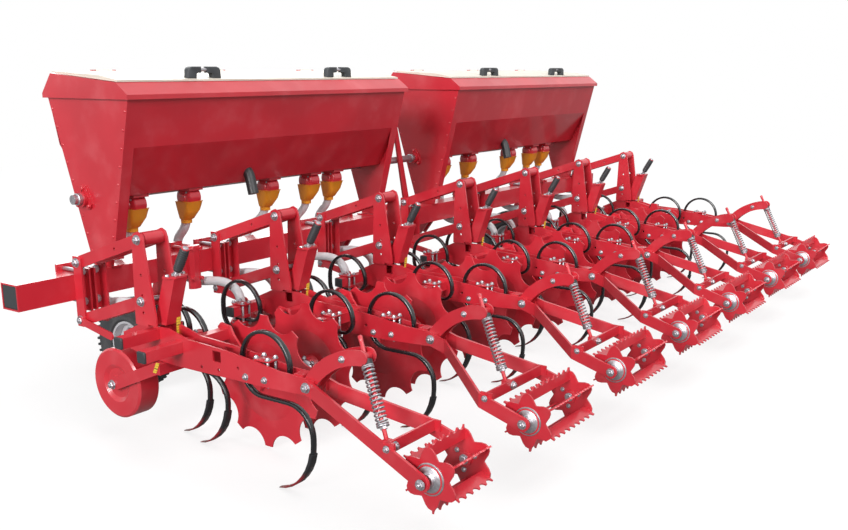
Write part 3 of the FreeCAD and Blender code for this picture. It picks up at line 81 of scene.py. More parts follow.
class CultivatorColours(bpy.types.PropertyGroup):
    """Colours of the finishes."""

    enamel: colour_setting("Enamel", "Red paint on the steelwork", (0.565, 0.021, 0.036))
    tine_black: colour_setting("Tine lacquer", "Black lacquer on the spring tines", (0.009, 0.010, 0.012))
    zinc: colour_setting("Zinc", "Plated bolts, pins and springs", (0.47, 0.46, 0.49))
    cover: colour_setting("Lid cream", "Sheet of the hopper lids", (0.78, 0.72, 0.62))
    funnel: colour_setting("Funnel yellow", "Moulded funnels under the meters", (0.80, 0.33, 0.022))
    rubber: colour_setting("Rubber", "Tyres of the support wheels", (0.035, 0.037, 0.041))
    rim: colour_setting("Rim grey", "Rims of the support wheels", (0.46, 0.47, 0.49))
    hose: colour_setting("Hose", "Milky delivery hoses", (0.62, 0.64, 0.66))
    plastic: colour_setting("Black plastic", "Spring caps and spouts", (0.016, 0.017, 0.019))
    cap: colour_setting("Cap grey", "Grips, handles and caps on the bars", (0.032, 0.036, 0.040))
    steel: colour_setting("Bare steel", "Rubbed points of the tines", (0.11, 0.075, 0.06))
    scale: colour_setting("Scale yellow", "Depth scales", (0.76, 0.52, 0.05))


class CultivatorSizes(bpy.types.PropertyGroup):
    """Sizes of the fine pieces."""

    tine_width: length_setting("Tine width", "Bar of the spring tines, across the row", 0.022)
    tine_thickness: length_setting("Tine thickness", "Bar of the spring tines, along the row", 0.0135)
    spring_radius: length_setting("Spring radius", "Outside radius of the coil springs", 0.0205)
    spring_wire: length_setting("Spring wire", "Radius of the coil springs' wire", 0.0029)
    spring_turns: bpy.props.FloatProperty(
        name="Spring turns", description="Turns of a coil spring, with the closed ones", default=16.0, min=4.0
    )
    hose_radius: length_setting("Hose radius", "Outside radius of the delivery hoses", 0.0195)
    grip_length: length_setting("Grip length", "Ribbed grip of a depth crank", 0.097)
    handle_width: length_setting("Handle width", "Lid handle over both elbows", 0.180)


class CultivatorStage(bpy.types.PropertyGroup):
    """Camera and light."""

    lens: bpy.props.FloatProperty(
        name="Lens", description="Focal length in millimetres", default=40.55, min=10.0, max=200.0
    )
    yaw: angle_setting("Yaw", "Turn of the camera from forward to the right", 54.47)
    pitch: angle_setting("Pitch", "How far the camera looks down", 14.08)
    fill: bpy.props.FloatProperty(
        name="Fill light", description="Strength of the even light from all round", default=0.24, min=0.0
    )


# ---- shader maths


class Wire:
    """A shader output; arithmetic on it adds Math nodes."""

    def __init__(self, finish, socket):
        self.finish = finish
        self.socket = socket

    def calculate(self, operation, *values):
        return self.finish.node("ShaderNodeMath", {"operation": operation}, dict(enumerate(values)))

    def __add__(self, other):
        return self.calculate("ADD", self, other)

    def __sub__(self, other):
        return self.calculate("SUBTRACT", self, other)

    def __rsub__(self, other):
        return self.calculate("SUBTRACT", other, self)

    def __mul__(self, other):
        return self.calculate("MULTIPLY", self, other)

    def __pow__(self, other):
        return self.calculate("POWER", self, other)

    __radd__ = __add__
    __rmul__ = __mul__

    def step(self, low, high):
        """0 up to low, 1 from high, and smooth between."""
        node = {"interpolation_type": "SMOOTHSTEP"}
        return self.finish.node("ShaderNodeMapRange", node, {"Value": self, "From Min": low, "From Max": high})

    def between(self, a, b):
        """From a, where this is 0, to b, where it is 1."""
        return self * (b - a) + a


class Finish:
    """The nodes of one material or of the world."""

    def __init__(self, owner):
        owner.use_nodes = True
        self.owner = owner
        self.tree = owner.node_tree
        self.tree.nodes.clear()

    def node(self, kind, settings=None, sockets=None, output=0):
        """Adds a node: its settings are set first, then its sockets are given values or links."""
        made = self.tree.nodes.new(kind)
        for key, value in (settings or {}).items():
            setattr(made, key, value)
        for key, value in (sockets or {}).items():
            if isinstance(value, Wire):
                self.tree.links.new(value.socket, made.inputs[key])
            else:
                made.inputs[key].default_value = value
        return Wire(self, made.outputs[output])

    def place(self, stretch=None):
        """Object coordinates, stretched along the axes when asked."""
        point = self.node("ShaderNodeTexCoord", output="Object")
        if stretch is None:
            return point
        return self.node("ShaderNodeMapping", {"vector_type": "POINT"}, {"Vector": point, "Scale": stretch})

    def axis(self, index):
        """One object coordinate: 0 for x, 1 for y and 2 for z."""
        return self.node("ShaderNodeSeparateXYZ", None, {0: self.place()}, index)

    def ray(self, kind):
        """1 for a ray of this kind."""
        return self.node("ShaderNodeLightPath", output=kind)

    def noise(self, scale, detail=2.0, rough=0.5, stretch=None):
        sockets = {"Vector": self.place(stretch), "Scale": scale, "Detail": detail, "Roughness": rough}
        return self.node("ShaderNodeTexNoise", None, sockets)

    def mix(self, factor, a, b):
        """A colour between a and b: sockets 6 and 7 and output 2 are the node's colours."""
        a, b = (value if isinstance(value, Wire) else (*value[:3], 1.0) for value in (a, b))
        return self.node("ShaderNodeMix", {"data_type": "RGBA"}, {0: factor, 6: a, 7: b}, 2)

    def bump(self, height, strength, distance, normal=None):
        sockets = {"Height": height, "Strength": strength, "Distance": distance}
        if normal is not None:
            sockets["Normal"] = normal
        return self.node("ShaderNodeBump", None, sockets)

    def soft_edges(self, radius):
        return self.node("ShaderNodeBevel", {"samples": 4}, {"Radius": radius})

    def glow(self, strength, kind="ShaderNodeEmission"):
        """White light of its own."""
        return self.node(kind, None, {"Color": (1.0, 1.0, 1.0, 1.0), "Strength": strength})

    def close(self, base, roughness, normal, more=None):
        """Ends the material with its shader."""
        sockets = {"Base Color": base, "Roughness": roughness, "Normal": normal, **(more or {})}
        return self.end(self.node("ShaderNodeBsdfPrincipled", None, sockets))

    def end(self, shader, kind="ShaderNodeOutputMaterial"):
        output = self.tree.nodes.new(kind)
        self.tree.links.new(shader.socket, output.inputs["Surface"])
        return self.owner


def material(name):
    """An empty material to build up."""
    return Finish(bpy.data.materials.new(name))


def shade_of(colour, factor):
    """A colour made lighter or darker by a factor, kept under 1."""
    return tuple(min(1.0, channel * factor) for channel in colour)


# ---- finishes


def enamel(name, colour):
    """Sprayed enamel on steel plate under a clear gloss, with a little pale dust."""
    finish = material(name)
    broad = finish.noise(2.3, 3.0)
    cloud = finish.noise(9.0, 3.0)
    tone = finish.mix(broad.step(0.35, 0.65), shade_of(colour, 0.90), shade_of(colour, 1.05))
    dusty = finish.mix(cloud.step(0.45, 0.85) * 0.12, tone, (0.85, 0.34, 0.357))
    normal = finish.bump(finish.noise(22.0, 2.0), 0.10, 0.0012, finish.soft_edges(0.0010))
    return finish.close(dusty, broad.between(0.25, 0.40), normal, {"Coat Weight": 0.45, "Coat Roughness": 0.10})


def plated(name, colour, rough):
    """Zinc plate: a mottled metal with a fine grain."""
    finish = material(name)
    mottle = finish.noise(90.0, 4.0, 0.6)
    tone = finish.mix(mottle.step(0.3, 0.7), shade_of(colour, 0.78), shade_of(colour, 1.12))
    roughness = finish.noise(210.0, 3.0).between(rough - 0.08, rough + 0.12)
    normal = finish.bump(finish.noise(600.0, 2.0), 0.12, 0.0006, finish.soft_edges(0.0008))
    return finish.close(tone, roughness, normal, {"Metallic": 0.85})


def lacquer(name, colour):
    """Black gloss lacquer with small runs and rubbed spots."""
    finish = material(name)
    rub = finish.noise(30.0, 5.0, 0.65)
    tone = finish.mix(rub.step(0.62, 0.8) * 0.3, colour, (0.06, 0.06, 0.065))
    roughness = finish.noise(60.0, 3.0).between(0.16, 0.34)
    normal = finish.bump(finish.noise(75.0, 2.0), 0.10, 0.0012)
    return finish.close(tone, roughness, normal, {"Coat Weight": 0.4, "Coat Roughness": 0.12})


def moulded(name, colour, rough):
    """Moulded plastic with a fine grain."""
    finish = material(name)
    tone = finish.mix(finish.noise(12.0, 3.0), shade_of(colour, 0.86), shade_of(colour, 1.12))
    roughness = finish.noise(80.0, 2.0).between(rough - 0.07, rough + 0.08)
    normal = finish.bump(finish.noise(900.0, 1.0), 0.12, 0.0005, finish.soft_edges(0.0015))
    return finish.close(tone, roughness, normal)


def rubber(name, colour):
    """Tyre rubber, dull, a little grey with dust."""
    finish = material(name)
    dust = finish.noise(9.0, 5.0, 0.6)
    tone = finish.mix(dust.step(0.4, 0.75) * 0.6, colour, (0.13, 0.125, 0.12))
    normal = finish.bump(finish.noise(330.0, 3.0), 0.25, 0.001, finish.soft_edges(0.004))
    return finish.close(tone, dust.between(0.58, 0.82), normal)


def milky(name, colour):
    """Hose of milky plastic: a light body with a wet gloss."""
    finish = material(name)
    tone = finish.mix(finish.noise(24.0, 3.0), shade_of(colour, 0.9), shade_of(colour, 1.12))
    roughness = finish.noise(50.0, 2.0).between(0.16, 0.3)
    normal = finish.bump(finish.noise(120.0, 2.0), 0.08, 0.001)
    body = {"Subsurface Weight": 0.25, "Subsurface Radius": (0.02, 0.02, 0.02)}
    return finish.close(tone, roughness, normal, body)


def worn_point(name, colour, steel):
    """Point of a tine: thin red paint rubbed through to brown steel, most of all towards the tip."""
    finish = material(name)
    height = finish.axis(2)
    rub = finish.noise(46.0, 5.0, 0.65, (1.0, 1.0, 0.5))
    bare = (rub + (0.06 - height) * 5.0).step(0.60, 0.90)
    paint = finish.mix(finish.noise(12.0, 3.0), shade_of(colour, 0.30), shade_of(colour, 0.55))
    paint = finish.mix((height + rub * 0.03).step(0.075, 0.115), paint, (0.012, 0.012, 0.014))
    tone = finish.mix(bare, paint, steel)
    normal = finish.bump(rub, 0.25, 0.0015, finish.soft_edges(0.001))
    return finish.close(tone, rub.between(0.38, 0.6), normal, {"Metallic": bare * 0.5})


def scale_finish(name, colour):
    """Yellow strip with a dark mark every ten millimetres of height and a longer one every fifty."""
    finish = material(name)
    height = finish.axis(2)
    mark = height.calculate("FRACT", height * 100.0).step(0.80, 0.84) * 0.45
    long_mark = height.calculate("FRACT", height * 20.0).step(0.93, 0.95)
    tone = finish.mix(mark.calculate("MAXIMUM", mark, long_mark), colour, (0.03, 0.028, 0.025))
    normal = finish.bump(finish.noise(300.0, 2.0), 0.1, 0.0006)
    return finish.close(tone, finish.noise(40.0, 3.0).between(0.34, 0.48), normal)


# Slot of the pieces that wear the finish, its maker, its name, and what the maker takes: the names
# of colour settings, and a roughness.
FINISH_KINDS = {
    "enamel": ("red_paint", enamel, "red_enamel", "enamel"),
    "worn_point": ("red_paint", worn_point, "worn_point", "enamel", "steel"),
    "scale": ("yellow_plastic", scale_finish, "depth_scale", "scale"),
    "cap": ("black_plastic", moulded, "dark_cap", "cap", 0.48),
    "zinc": ("zinc_steel", plated, "zinc_plate", "zinc", 0.34),
    "lacquer": ("black_steel", lacquer, "black_lacquer", "tine_black"),
    "cover": ("cream_cover", moulded, "lid_cream", "cover", 0.38),
    "plastic": ("black_plastic", moulded, "black_plastic", "plastic", 0.42),
    "funnel": ("yellow_plastic", moulded, "funnel_yellow", "funnel", 0.36),
    "rubber": ("tyre_rubber", rubber, "tyre_rubber", "rubber"),
    "rim": ("rim_grey", enamel, "rim_enamel", "rim"),
    "hose": ("clear_hose", milky, "milky_hose", "hose"),
}

# Finish of a node of the frame, by the start of its name; the first that fits is taken.
NODE_FINISH = (
    ("bracket_bolts", "zinc"),
    ("link_pins", "zinc"),
    ("springs", "zinc"),
    ("drive_shaft", "zinc"),
    ("front_tines", "lacquer"),
    ("side_tines", "lacquer"),
    ("rear_tines", "lacquer"),
    ("lid_handles", "plastic"),
    ("lid_", "cover"),
    ("drain_spouts", "plastic"),
    ("funnels", "funnel"),
    ("support_tyre", "rubber"),
    ("support_rim", "rim"),
    ("hoses", "hose"),
    ("", "enamel"),
)
# The finishes made so far, by kind.
FINISHES = {}


def finish_for(node):
    """The finish of a node of the frame."""
    for start, name in NODE_FINISH:
        if node.startswith(start):
            return FINISHES[name]
    raise RuntimeError("no finish for %s" % node)


class CULTIVATOR_OT_finishes(bpy.types.Operator):
    """Make the finishes and give each part of the frame its own."""

    bl_idname = "cultivator.finishes"
    bl_label = "Finishes"

    def execute(self, context):
        colours = context.scene.cultivator_colours
        for kind, (_, make, name, *values) in FINISH_KINDS.items():
            FINISHES[kind] = make(name, *(getattr(colours, value) if isinstance(value, str) else value
                                          for value in values))
        for name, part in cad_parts.items():
            part.data.materials.clear()
            part.data.materials.append(finish_for(name))
        return {"FINISHED"}


# ---- surfaces

# A surface: its points, the run of points round all faces, and how many each face has.
Shape = collections.namedtuple("Shape", "points corners sizes")


def skin(rings, loop=False):
    """Four-sided faces between rings of equally many points; the first and last get a flat cap.

    Seen along the rings' own direction each ring runs anticlockwise, so faces
    look outwards. With loop the last ring is joined to the first instead.
    """
    count, around, _ = rings.shape
    index = np.arange(count * around).reshape(count, around)
    if loop:
        index = np.vstack([index, index[:1]])
    low, high = index[:-1], index[1:]
    quads = np.stack([low, np.roll(low, -1, 1), np.roll(high, -1, 1), high], -1).reshape(-1, 4)
    corners, sizes = [quads.ravel()], [np.full(len(quads), 4)]
    if not loop:
        corners += [index[0][::-1], index[-1]]
        sizes += [np.array([around, around])]
    return Shape(rings.reshape(-1, 3), np.concatenate(corners), np.concatenate(sizes))


def circle(count, phase=0.0):
    """Unit circle: cosine and sine of evenly spaced angles."""
    angle = 2.0 * np.pi * (np.arange(count) + phase) / count
    return np.stack([np.cos(angle), np.sin(angle)], -1)


def spun(profile, around=24, loop=False):
    """Profile of (height, radius) turned about Z: x and y are radius times cosine and sine."""
    profile = np.array(profile, float)
    flat = circle(around)[None] * profile[:, None, 1:]
    height = np.broadcast_to(profile[:, None, :1], (*flat.shape[:2], 1))
    return skin(np.concatenate([flat, height], -1), loop)


def block(outline, low, high, edge=0.0015):
    """Outline carried up Z from low to high, drawn in by edge at both ends."""
    outline = np.array(outline, float)
    middle = outline.mean(0)
    away = outline - middle
    inner = middle + away * (1.0 - edge / np.abs(away).max(0).min())
    layers = ((inner, low), (outline, low + edge), (outline, high - edge), (inner, high))
    rings = [np.column_stack([flat, np.full(len(flat), height)]) for flat, height in layers]
    return skin(np.array(rings))


def oblong(width, depth, corner=0.0, x=0.0, y=0.0):
    """Rectangle about (x, y) with its corners cut."""
    a, b, c = width / 2.0, depth / 2.0, corner
    if not c:
        return [(x - a, y - b), (x + a, y - b), (x + a, y + b), (x - a, y + b)]
    return [(x - a + c, y - b), (x + a - c, y - b), (x + a, y - b + c), (x + a, y + b - c), (x + a - c, y + b),
            (x - a + c, y + b), (x - a, y + b - c), (x - a, y - b + c)]


def unit(vectors):
    """Vectors divided by their lengths."""
    return vectors / np.linalg.norm(vectors, axis=-1, keepdims=True)


def copies(shape, points):
    """The shape again over each set of points."""
    starts = np.arange(len(points)) * len(shape.points)
    corners = shape.corners[None] + starts[:, None]
    return Shape(points.reshape(-1, 3), corners.ravel(), np.tile(shape.sizes, len(points)))


def placed(shape, places, heading):
    """Copies of a shape at places (metres), its Z turned to heading: one for all or one each."""
    places = np.atleast_2d(np.array(places, float))
    heading = unit(np.broadcast_to(np.array(heading, float), places.shape))
    upright = np.abs(heading[:, 2:]) > 0.9
    helper = np.where(upright, (0.0, 1.0, 0.0), (0.0, 0.0, 1.0))
    across = unit(np.cross(helper, heading))
    turn = np.stack([across, np.cross(heading, across), heading], -1)
    return copies(shape, np.einsum("nij,pj->npi", turn, shape.points) + places[:, None])


def along_rows(shape, rows=None):
    """A shape of one row unit repeated at the row centres given, or at all of them."""
    centres = ROWS if rows is None else ROWS[list(rows)]
    return copies(shape, shape.points[None] + centres[:, None, None] * np.array(ACROSS))


def joined(shapes):
    """Several shapes as one."""
    counts = np.cumsum([0] + [len(shape.points) for shape in shapes[:-1]])
    return Shape(
        np.concatenate([shape.points for shape in shapes]),
        np.concatenate([shape.corners + count for shape, count in zip(shapes, counts)]),
        np.concatenate([shape.sizes for shape in shapes]),
    )


def swept(path, section, side=(1.0, 0.0, 0.0), scale=(1.0, 1.0)):
    """Section carried along a path: each ring is the path point plus the section's width along the
    side direction and its height along the tangent crossed with that."""
    path = np.array(path, float)
    tangent = unit(np.gradient(path, axis=0))
    up = unit(np.cross(tangent, np.broadcast_to(np.array(side, float), path.shape)))
    across = np.cross(up, tangent)
    flat = np.array(section, float)[None] * np.broadcast_to(np.array(scale, float), (len(path), 2))[:, None]
    rings = path[:, None] + flat[..., :1] * across[:, None] + flat[..., 1:] * up[:, None]
    return skin(rings)


def bent_path(steps, start, heading):
    """Runs and arcs in the side view as points (0, y, z): an arc's point is its centre plus the
    radius turned by the share of its angle."""
    place = np.array(start, float)
    angle = math.radians(heading)
    runs = [place[None]]
    for step in steps:
        if step[0] == "line":
            share = np.linspace(0.0, 1.0, 3)[1:, None]
            run = place + share * step[1] * np.array([math.cos(angle), math.sin(angle)])
        else:
            turn = math.radians(step[2])
            reach = math.copysign(step[1], turn)
            centre = place + reach * np.array([-math.sin(angle), math.cos(angle)])
            bearing = angle + turn * np.linspace(0.0, 1.0, 3 + int(abs(step[2]) / 11.0))[1:]
            run = centre + reach * np.stack([np.sin(bearing), -np.cos(bearing)], -1)
            angle += turn
        runs.append(run)
        place = run[-1]
    flat = np.concatenate(runs)
    return np.column_stack([np.zeros(len(flat)), flat])


def make_piece(name, shapes, finish, body="frame", sharp=34.0):
    """One mesh object from the shapes, with its finish, riding on a body.

    Edges that bend by more than sharp degrees stay sharp.
    """
    whole = joined(shapes)
    mesh = bpy.data.meshes.new(name)
    mesh.vertices.add(len(whole.points))
    mesh.vertices.foreach_set("co", whole.points.astype(np.float32).ravel())
    mesh.loops.add(len(whole.corners))
    mesh.loops.foreach_set("vertex_index", whole.corners.astype(np.int32))
    mesh.polygons.add(len(whole.sizes))
    mesh.polygons.foreach_set("loop_start", (np.cumsum(whole.sizes) - whole.sizes).astype(np.int32))
    mesh.update(calc_edges=True)
    mesh.polygons.foreach_set("use_smooth", np.ones(len(whole.sizes), bool))
    mesh.set_sharp_from_angle(angle=math.radians(sharp))
    piece = bpy.data.objects.new(name, mesh)
    bpy.context.scene.collection.objects.link(piece)
    mesh.materials.append(FINISHES[finish])
    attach(piece, body)
    return piece


def hex_head(radius, height=0.010, stub=0.0):
    """A washer, a six-sided head with a chamfer, and a stub of thread when asked."""
    washer = 0.002
    top = washer + height
    parts = [
        spun([(0.0, radius * 1.25), (washer, radius * 1.25)], 14),
        spun([(washer, radius), (top - 0.002, radius), (top, radius * 0.84)], 6),
    ]
    if stub:
        parts.append(spun([(top, stub), (top + 0.004, stub), (top + 0.005, stub * 0.75)], 10))
    return joined(parts)


# ---- places on the row units

ACROSS, AHEAD, UP = (1.0, 0.0, 0.0), (0.0, 1.0, 0.0), (0.0, 0.0, 1.0)
BACK, DOWN = (0.0, -1.0, 0.0), (0.0, 0.0, -1.0)
SIDES = ("left", "right")


def facing(way):
    """The heading to the left (-1) or right (1)."""
    return (float(way), 0.0, 0.0)


def middle_of(node):
    """Middle of a node's box."""
    low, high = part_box(node)
    return (low + high) / 2.0


# Row centres; all but the first row have tools on their left, and all but the last on their right.
ROWS = np.array([middle_of("gauge_wheel_%d" % row)[0] for row in range(1, 8)])
LEFT_OPEN, RIGHT_OPEN = range(1, 7), range(0, 6)
FIRST = (0,)

# Seen from the side, as (y, z).
PIVOT_PLACES = ((0.635, 0.462), (0.635, 0.687), (0.266, 0.587), (0.266, 0.812))
FRONT_BAR, SECOND_BAR, SPARE_BAR = (0.388, 0.419), (0.243, 0.409), (0.224, 0.471)
DISC_BAR, MIDDLE_BAR, REAR_CLAMP = (0.104, 0.440), (-0.088, 0.436), (-0.291, 0.430)
TAIL_PIN = (-0.508, 0.408)
ARCH_BOLT, ARCH_END = (-0.646, 0.524), (-0.7185, 0.5397)
BEAM_BOLTS = ((-0.227, 0.390), (-0.315, 0.394))
STRAP = (-0.885, 0.311)
ROLLER_AXIS = (-1.032, 0.249)
GAUGE_AXIS = (0.461, 0.237)
DISC_AXIS = (-0.054, 0.266)

BAR = 0.040
BEAM_HALF = 0.034
LINK_FACE = 0.058
GAUGE_ARM_FACE = 0.066
LONG_BAR_END, SHORT_BAR_END = 0.215, 0.198

# Name, place of the clamp on a row unit, and the rows that have it.
TINE_GROUPS = (
    ("front_tines", (-0.150, *FRONT_BAR), LEFT_OPEN),
    ("front_tines", (0.170, *FRONT_BAR), RIGHT_OPEN),
    ("side_tines", (-0.125, *MIDDLE_BAR), LEFT_OPEN),
    ("side_tines", (0.125, *SECOND_BAR), RIGHT_OPEN),
    ("rear_tines", (0.0, *REAR_CLAMP), range(0, 7)),
)
# A tine's centre line: how far below and ahead of its bar it starts, the radii of its bends, its
# straight runs, and the bend of its tip.
TINE_DROP, HEEL_AHEAD = 0.040, 0.035
LOOP_IN, LOOP_OVER, KNEE, ANKLE, TIP_BEND, TIP_REACH = 0.050, 0.110, 0.090, 0.105, 0.190, 0.196
HEEL_RUN, LOOP_RUN, SHANK_RUN, TIP_ANGLE = 0.095, 0.030, 0.120, 80.0
# Path points, counted from the tip, that the bar leaves out and that the worn point covers.
BAR_STOPS_BEFORE, POINT_COVERS = 4, 9
POINT_WIDTH, POINT_THICKNESS, POINT_RINGS = 0.030, 0.018, 8


def tine_path(bar_z):
    """The centre line of an S tine from its heel in front of the bar to its tip."""
    start = bar_z - TINE_DROP
    leg = start + LOOP_IN - LOOP_RUN - KNEE - ANKLE - TIP_REACH * math.sin(math.radians(TIP_ANGLE))
    steps = [("line", HEEL_RUN), ("arc", LOOP_IN, -90), ("arc", LOOP_OVER, -180), ("line", LOOP_RUN),
             ("arc", KNEE, -90), ("line", SHANK_RUN), ("arc", ANKLE, 90), ("line", leg),
             ("arc", TIP_BEND, TIP_ANGLE)]
    return bent_path(steps, (HEEL_AHEAD, start), 180.0)


def rounded_bar(width, thick, count=14, fullness=0.6):
    """Section with full, rounded sides: powers of cosine and sine."""
    wave = circle(count, 0.5)
    return np.sign(wave) * np.abs(wave) ** fullness * (width / 2.0, thick / 2.0)


def tine_point(path):
    """The worn point round the last of the path: as wide as a sine wave's bulge less a fourth power,
    and thinner by the share of its length."""
    tail = path[-POINT_COVERS:]
    steps = np.linspace(0.0, len(tail) - 1.0, POINT_RINGS)
    run = np.stack([np.interp(steps, np.arange(len(tail)), tail[:, axis]) for axis in range(3)], -1)
    share = np.linspace(0.0, 1.0, POINT_RINGS)[:, None]
    width = 1.0 + 0.25 * np.sin(share * np.pi) - 0.45 * share ** 4
    section = rounded_bar(POINT_WIDTH, POINT_THICKNESS, 12, 0.45)
    return swept(run, section, scale=np.concatenate([width, 1.0 - 0.82 * share], -1))


class CULTIVATOR_OT_tines(bpy.types.Operator):
    """Make the spring tines of rounded bar and their worn points."""

    bl_idname = "cultivator.tines"
    bl_label = "Spring tines"

    def execute(self, context):
        sizes = context.scene.cultivator_sizes
        bars, points = {}, {}
        for group, (x, y, z), rows in TINE_GROUPS:
            path = tine_path(z) + (x, y, 0.0)
            bar = swept(path[:-BAR_STOPS_BEFORE], rounded_bar(sizes.tine_width, sizes.tine_thickness))
            for store, shape in ((bars, bar), (points, tine_point(path))):
                store.setdefault(group, []).append(along_rows(shape, rows))
        for group in bars:
            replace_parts(make_piece(group + "_bars", bars[group], "lacquer"), group)
            make_piece(group + "_points", points[group], "worn_point")
        return {"FINISHED"}


class CULTIVATOR_OT_tine_clamps(bpy.types.Operator):
    """Make the plates, U-bolts and nuts that hold the tines on their bars."""

    bl_idname = "cultivator.tine_clamps"
    bl_label = "Tine clamps"

    def execute(self, context):
        plates, zinc = [], []
        leg_x, leg_y, leg_radius = 0.0185, 0.0265, 0.005
        top_plate, foot_plate, past_foot, past_top = 0.007, 0.008, 0.020, 0.0175
        beam_top, tine_half, spacer_foot = 0.022, 0.0068, 0.0335
        for group, (x, y, z), rows in TINE_GROUPS:
            in_beam = group == "rear_tines"
            top = z + (beam_top if in_beam else BAR / 2.0)
            foot = z - TINE_DROP - tine_half
            outline = oblong(0.054, 0.072, 0.006, x, y)
            solids = [block(outline, top, top + top_plate), block(outline, foot - foot_plate, foot)]
            if not in_beam:
                solids.append(block(oblong(0.046, 0.062, 0.0, x, y), z - spacer_foot, z - BAR / 2.0))
            plates += [along_rows(solid, rows) for solid in solids]
            length = top - foot + past_foot + past_top
            leg = spun([(0.0, 0.0042), (0.001, leg_radius), (length - 0.0015, leg_radius), (length, 0.004)], 8)
            corners = np.array([(x + a * leg_x, y + b * leg_y, 0.0) for a in (-1, 1) for b in (-1, 1)])
            for shape, height, heading in ((leg, foot - past_foot, UP),
                                           (hex_head(0.0080, 0.007), top + top_plate, UP),
                                           (hex_head(0.0080, 0.006), foot - foot_plate, DOWN)):
                zinc.append(along_rows(placed(shape, corners + (0.0, 0.0, height), heading), rows))
        make_piece("tine_clamp_plates", plates, "enamel")
        make_piece("tine_clamp_bolts", zinc, "zinc")
        return {"FINISHED"}


SPRING_TOP = np.array([0.0, *ARCH_END])
SPRING_FOOT = np.array([-0.078, -0.863, 0.311])
SPRING_LUG = (-0.078, -0.889, 0.311)
SPRING_LEAN = unit(SPRING_FOOT - SPRING_TOP)


def coil(start, length, radius, wire, turns, closed=1.5):
    """Round wire on a helix about Z: radius times cosine and sine of the angle, and a height that
    climbs slowly over the closed turns at both ends."""
    angle = np.linspace(0.0, turns * 2.0 * np.pi, int(turns * 14) + 1)
    share = angle / (turns * 2.0 * np.pi)
    edge = closed / turns
    climb = np.clip((share - edge) / (1.0 - 2.0 * edge), 0.0, 1.0)
    dead = wire * 2.05 * closed
    height = start + climb * (length - 2.0 * dead) + np.minimum(share, edge) / edge * dead
    height += np.maximum(share - (1.0 - edge), 0.0) / edge * dead
    path = np.stack([radius * np.cos(angle), radius * np.sin(angle), height], -1)
    outward = np.stack([np.cos(angle), np.sin(angle), np.zeros(len(angle))], -1)
    return swept(path, circle(7) * wire, outward)


class CULTIVATOR_OT_springs(bpy.types.Operator):
    """Make the coil springs over the roller arms with their rods, seats and caps."""

    bl_idname = "cultivator.springs"
    bl_label = "Coil springs"

    def execute(self, context):
        sizes = context.scene.cultivator_sizes
        radius, wire = sizes.spring_radius, sizes.spring_wire
        full = float(np.linalg.norm(SPRING_FOOT - SPRING_TOP))
        low, high = 0.030, full - 0.058
        spring = coil(low, high - low, radius - wire, wire, sizes.spring_turns)
        rod = spun([(-0.062, 0.006), (-0.060, 0.007), (full + 0.019, 0.007), (full + 0.020, 0.006)], 16)
        cap = spun([(-0.070, 0.0065), (-0.0685, 0.0080), (-0.052, 0.0080), (-0.050, 0.007)], 16)
        seat = spun([(0.012, 0.011), (0.013, 0.0195), (low - 0.001, 0.0195), (low, 0.014)], 20)
        washer = spun([(high, radius), (high + 0.003, radius)], 20)
        nut = spun([(high + 0.003, 0.012), (high + 0.012, 0.012)], 6)
        for shapes, name, finish in (([spring, washer, nut], "spring_coils", "zinc"),
                                     ([rod, cap], "spring_rods", "enamel"),
                                     ([seat], "spring_caps", "plastic")):
            whole = placed(joined(shapes), SPRING_TOP, SPRING_LEAN)
            piece = make_piece(name, [along_rows(whole)], finish, sharp=50.0)
            if name == "spring_coils":
                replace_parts(piece, "springs")
        return {"FINISHED"}


# Outer faces that bolts sit on, from the row's middle; the first row's left arm is a narrow one.
ROLLER_ARM, ROLLER_ARM_LEFT, NARROW_ARM, NARROW_STRAP = 0.150, -0.262, -0.148, -0.1135
TAIL_FACE, ARCH_FACE = 0.044, 0.026

# Place (y, z), left and right face, head radius and height, and the rows that have the bolt.
ROW_BOLTS = (
    *((place, -LINK_FACE, LINK_FACE, 0.0150, 0.0095, None) for place in PIVOT_PLACES),
    (TAIL_PIN, -TAIL_FACE, TAIL_FACE, 0.0145, 0.0110, None),
    (ARCH_BOLT, -ARCH_FACE, ARCH_FACE, 0.0095, 0.0075, None),
    *((place, -BEAM_HALF, BEAM_HALF, 0.0100, 0.0080, None) for place in BEAM_BOLTS),
    (GAUGE_AXIS, -GAUGE_ARM_FACE, GAUGE_ARM_FACE, 0.0150, 0.0110, None),
    (ROLLER_AXIS, NARROW_ARM, ROLLER_ARM, 0.0135, 0.0085, FIRST),
    (STRAP, NARROW_STRAP, ROLLER_ARM, 0.0095, 0.0070, FIRST),
    (ROLLER_AXIS, ROLLER_ARM_LEFT, ROLLER_ARM, 0.0135, 0.0085, LEFT_OPEN),
    (STRAP, ROLLER_ARM_LEFT, ROLLER_ARM, 0.0095, 0.0070, LEFT_OPEN),
)
# Rear and front face of the clamps on the toolbar, and their four bolts (x, z).
CLAMP_REAR, CLAMP_FRONT = 0.644, 0.768
CLAMP_BOLTS = tuple((x, z) for x in (-0.030, 0.030) for z in (0.530, 0.648))


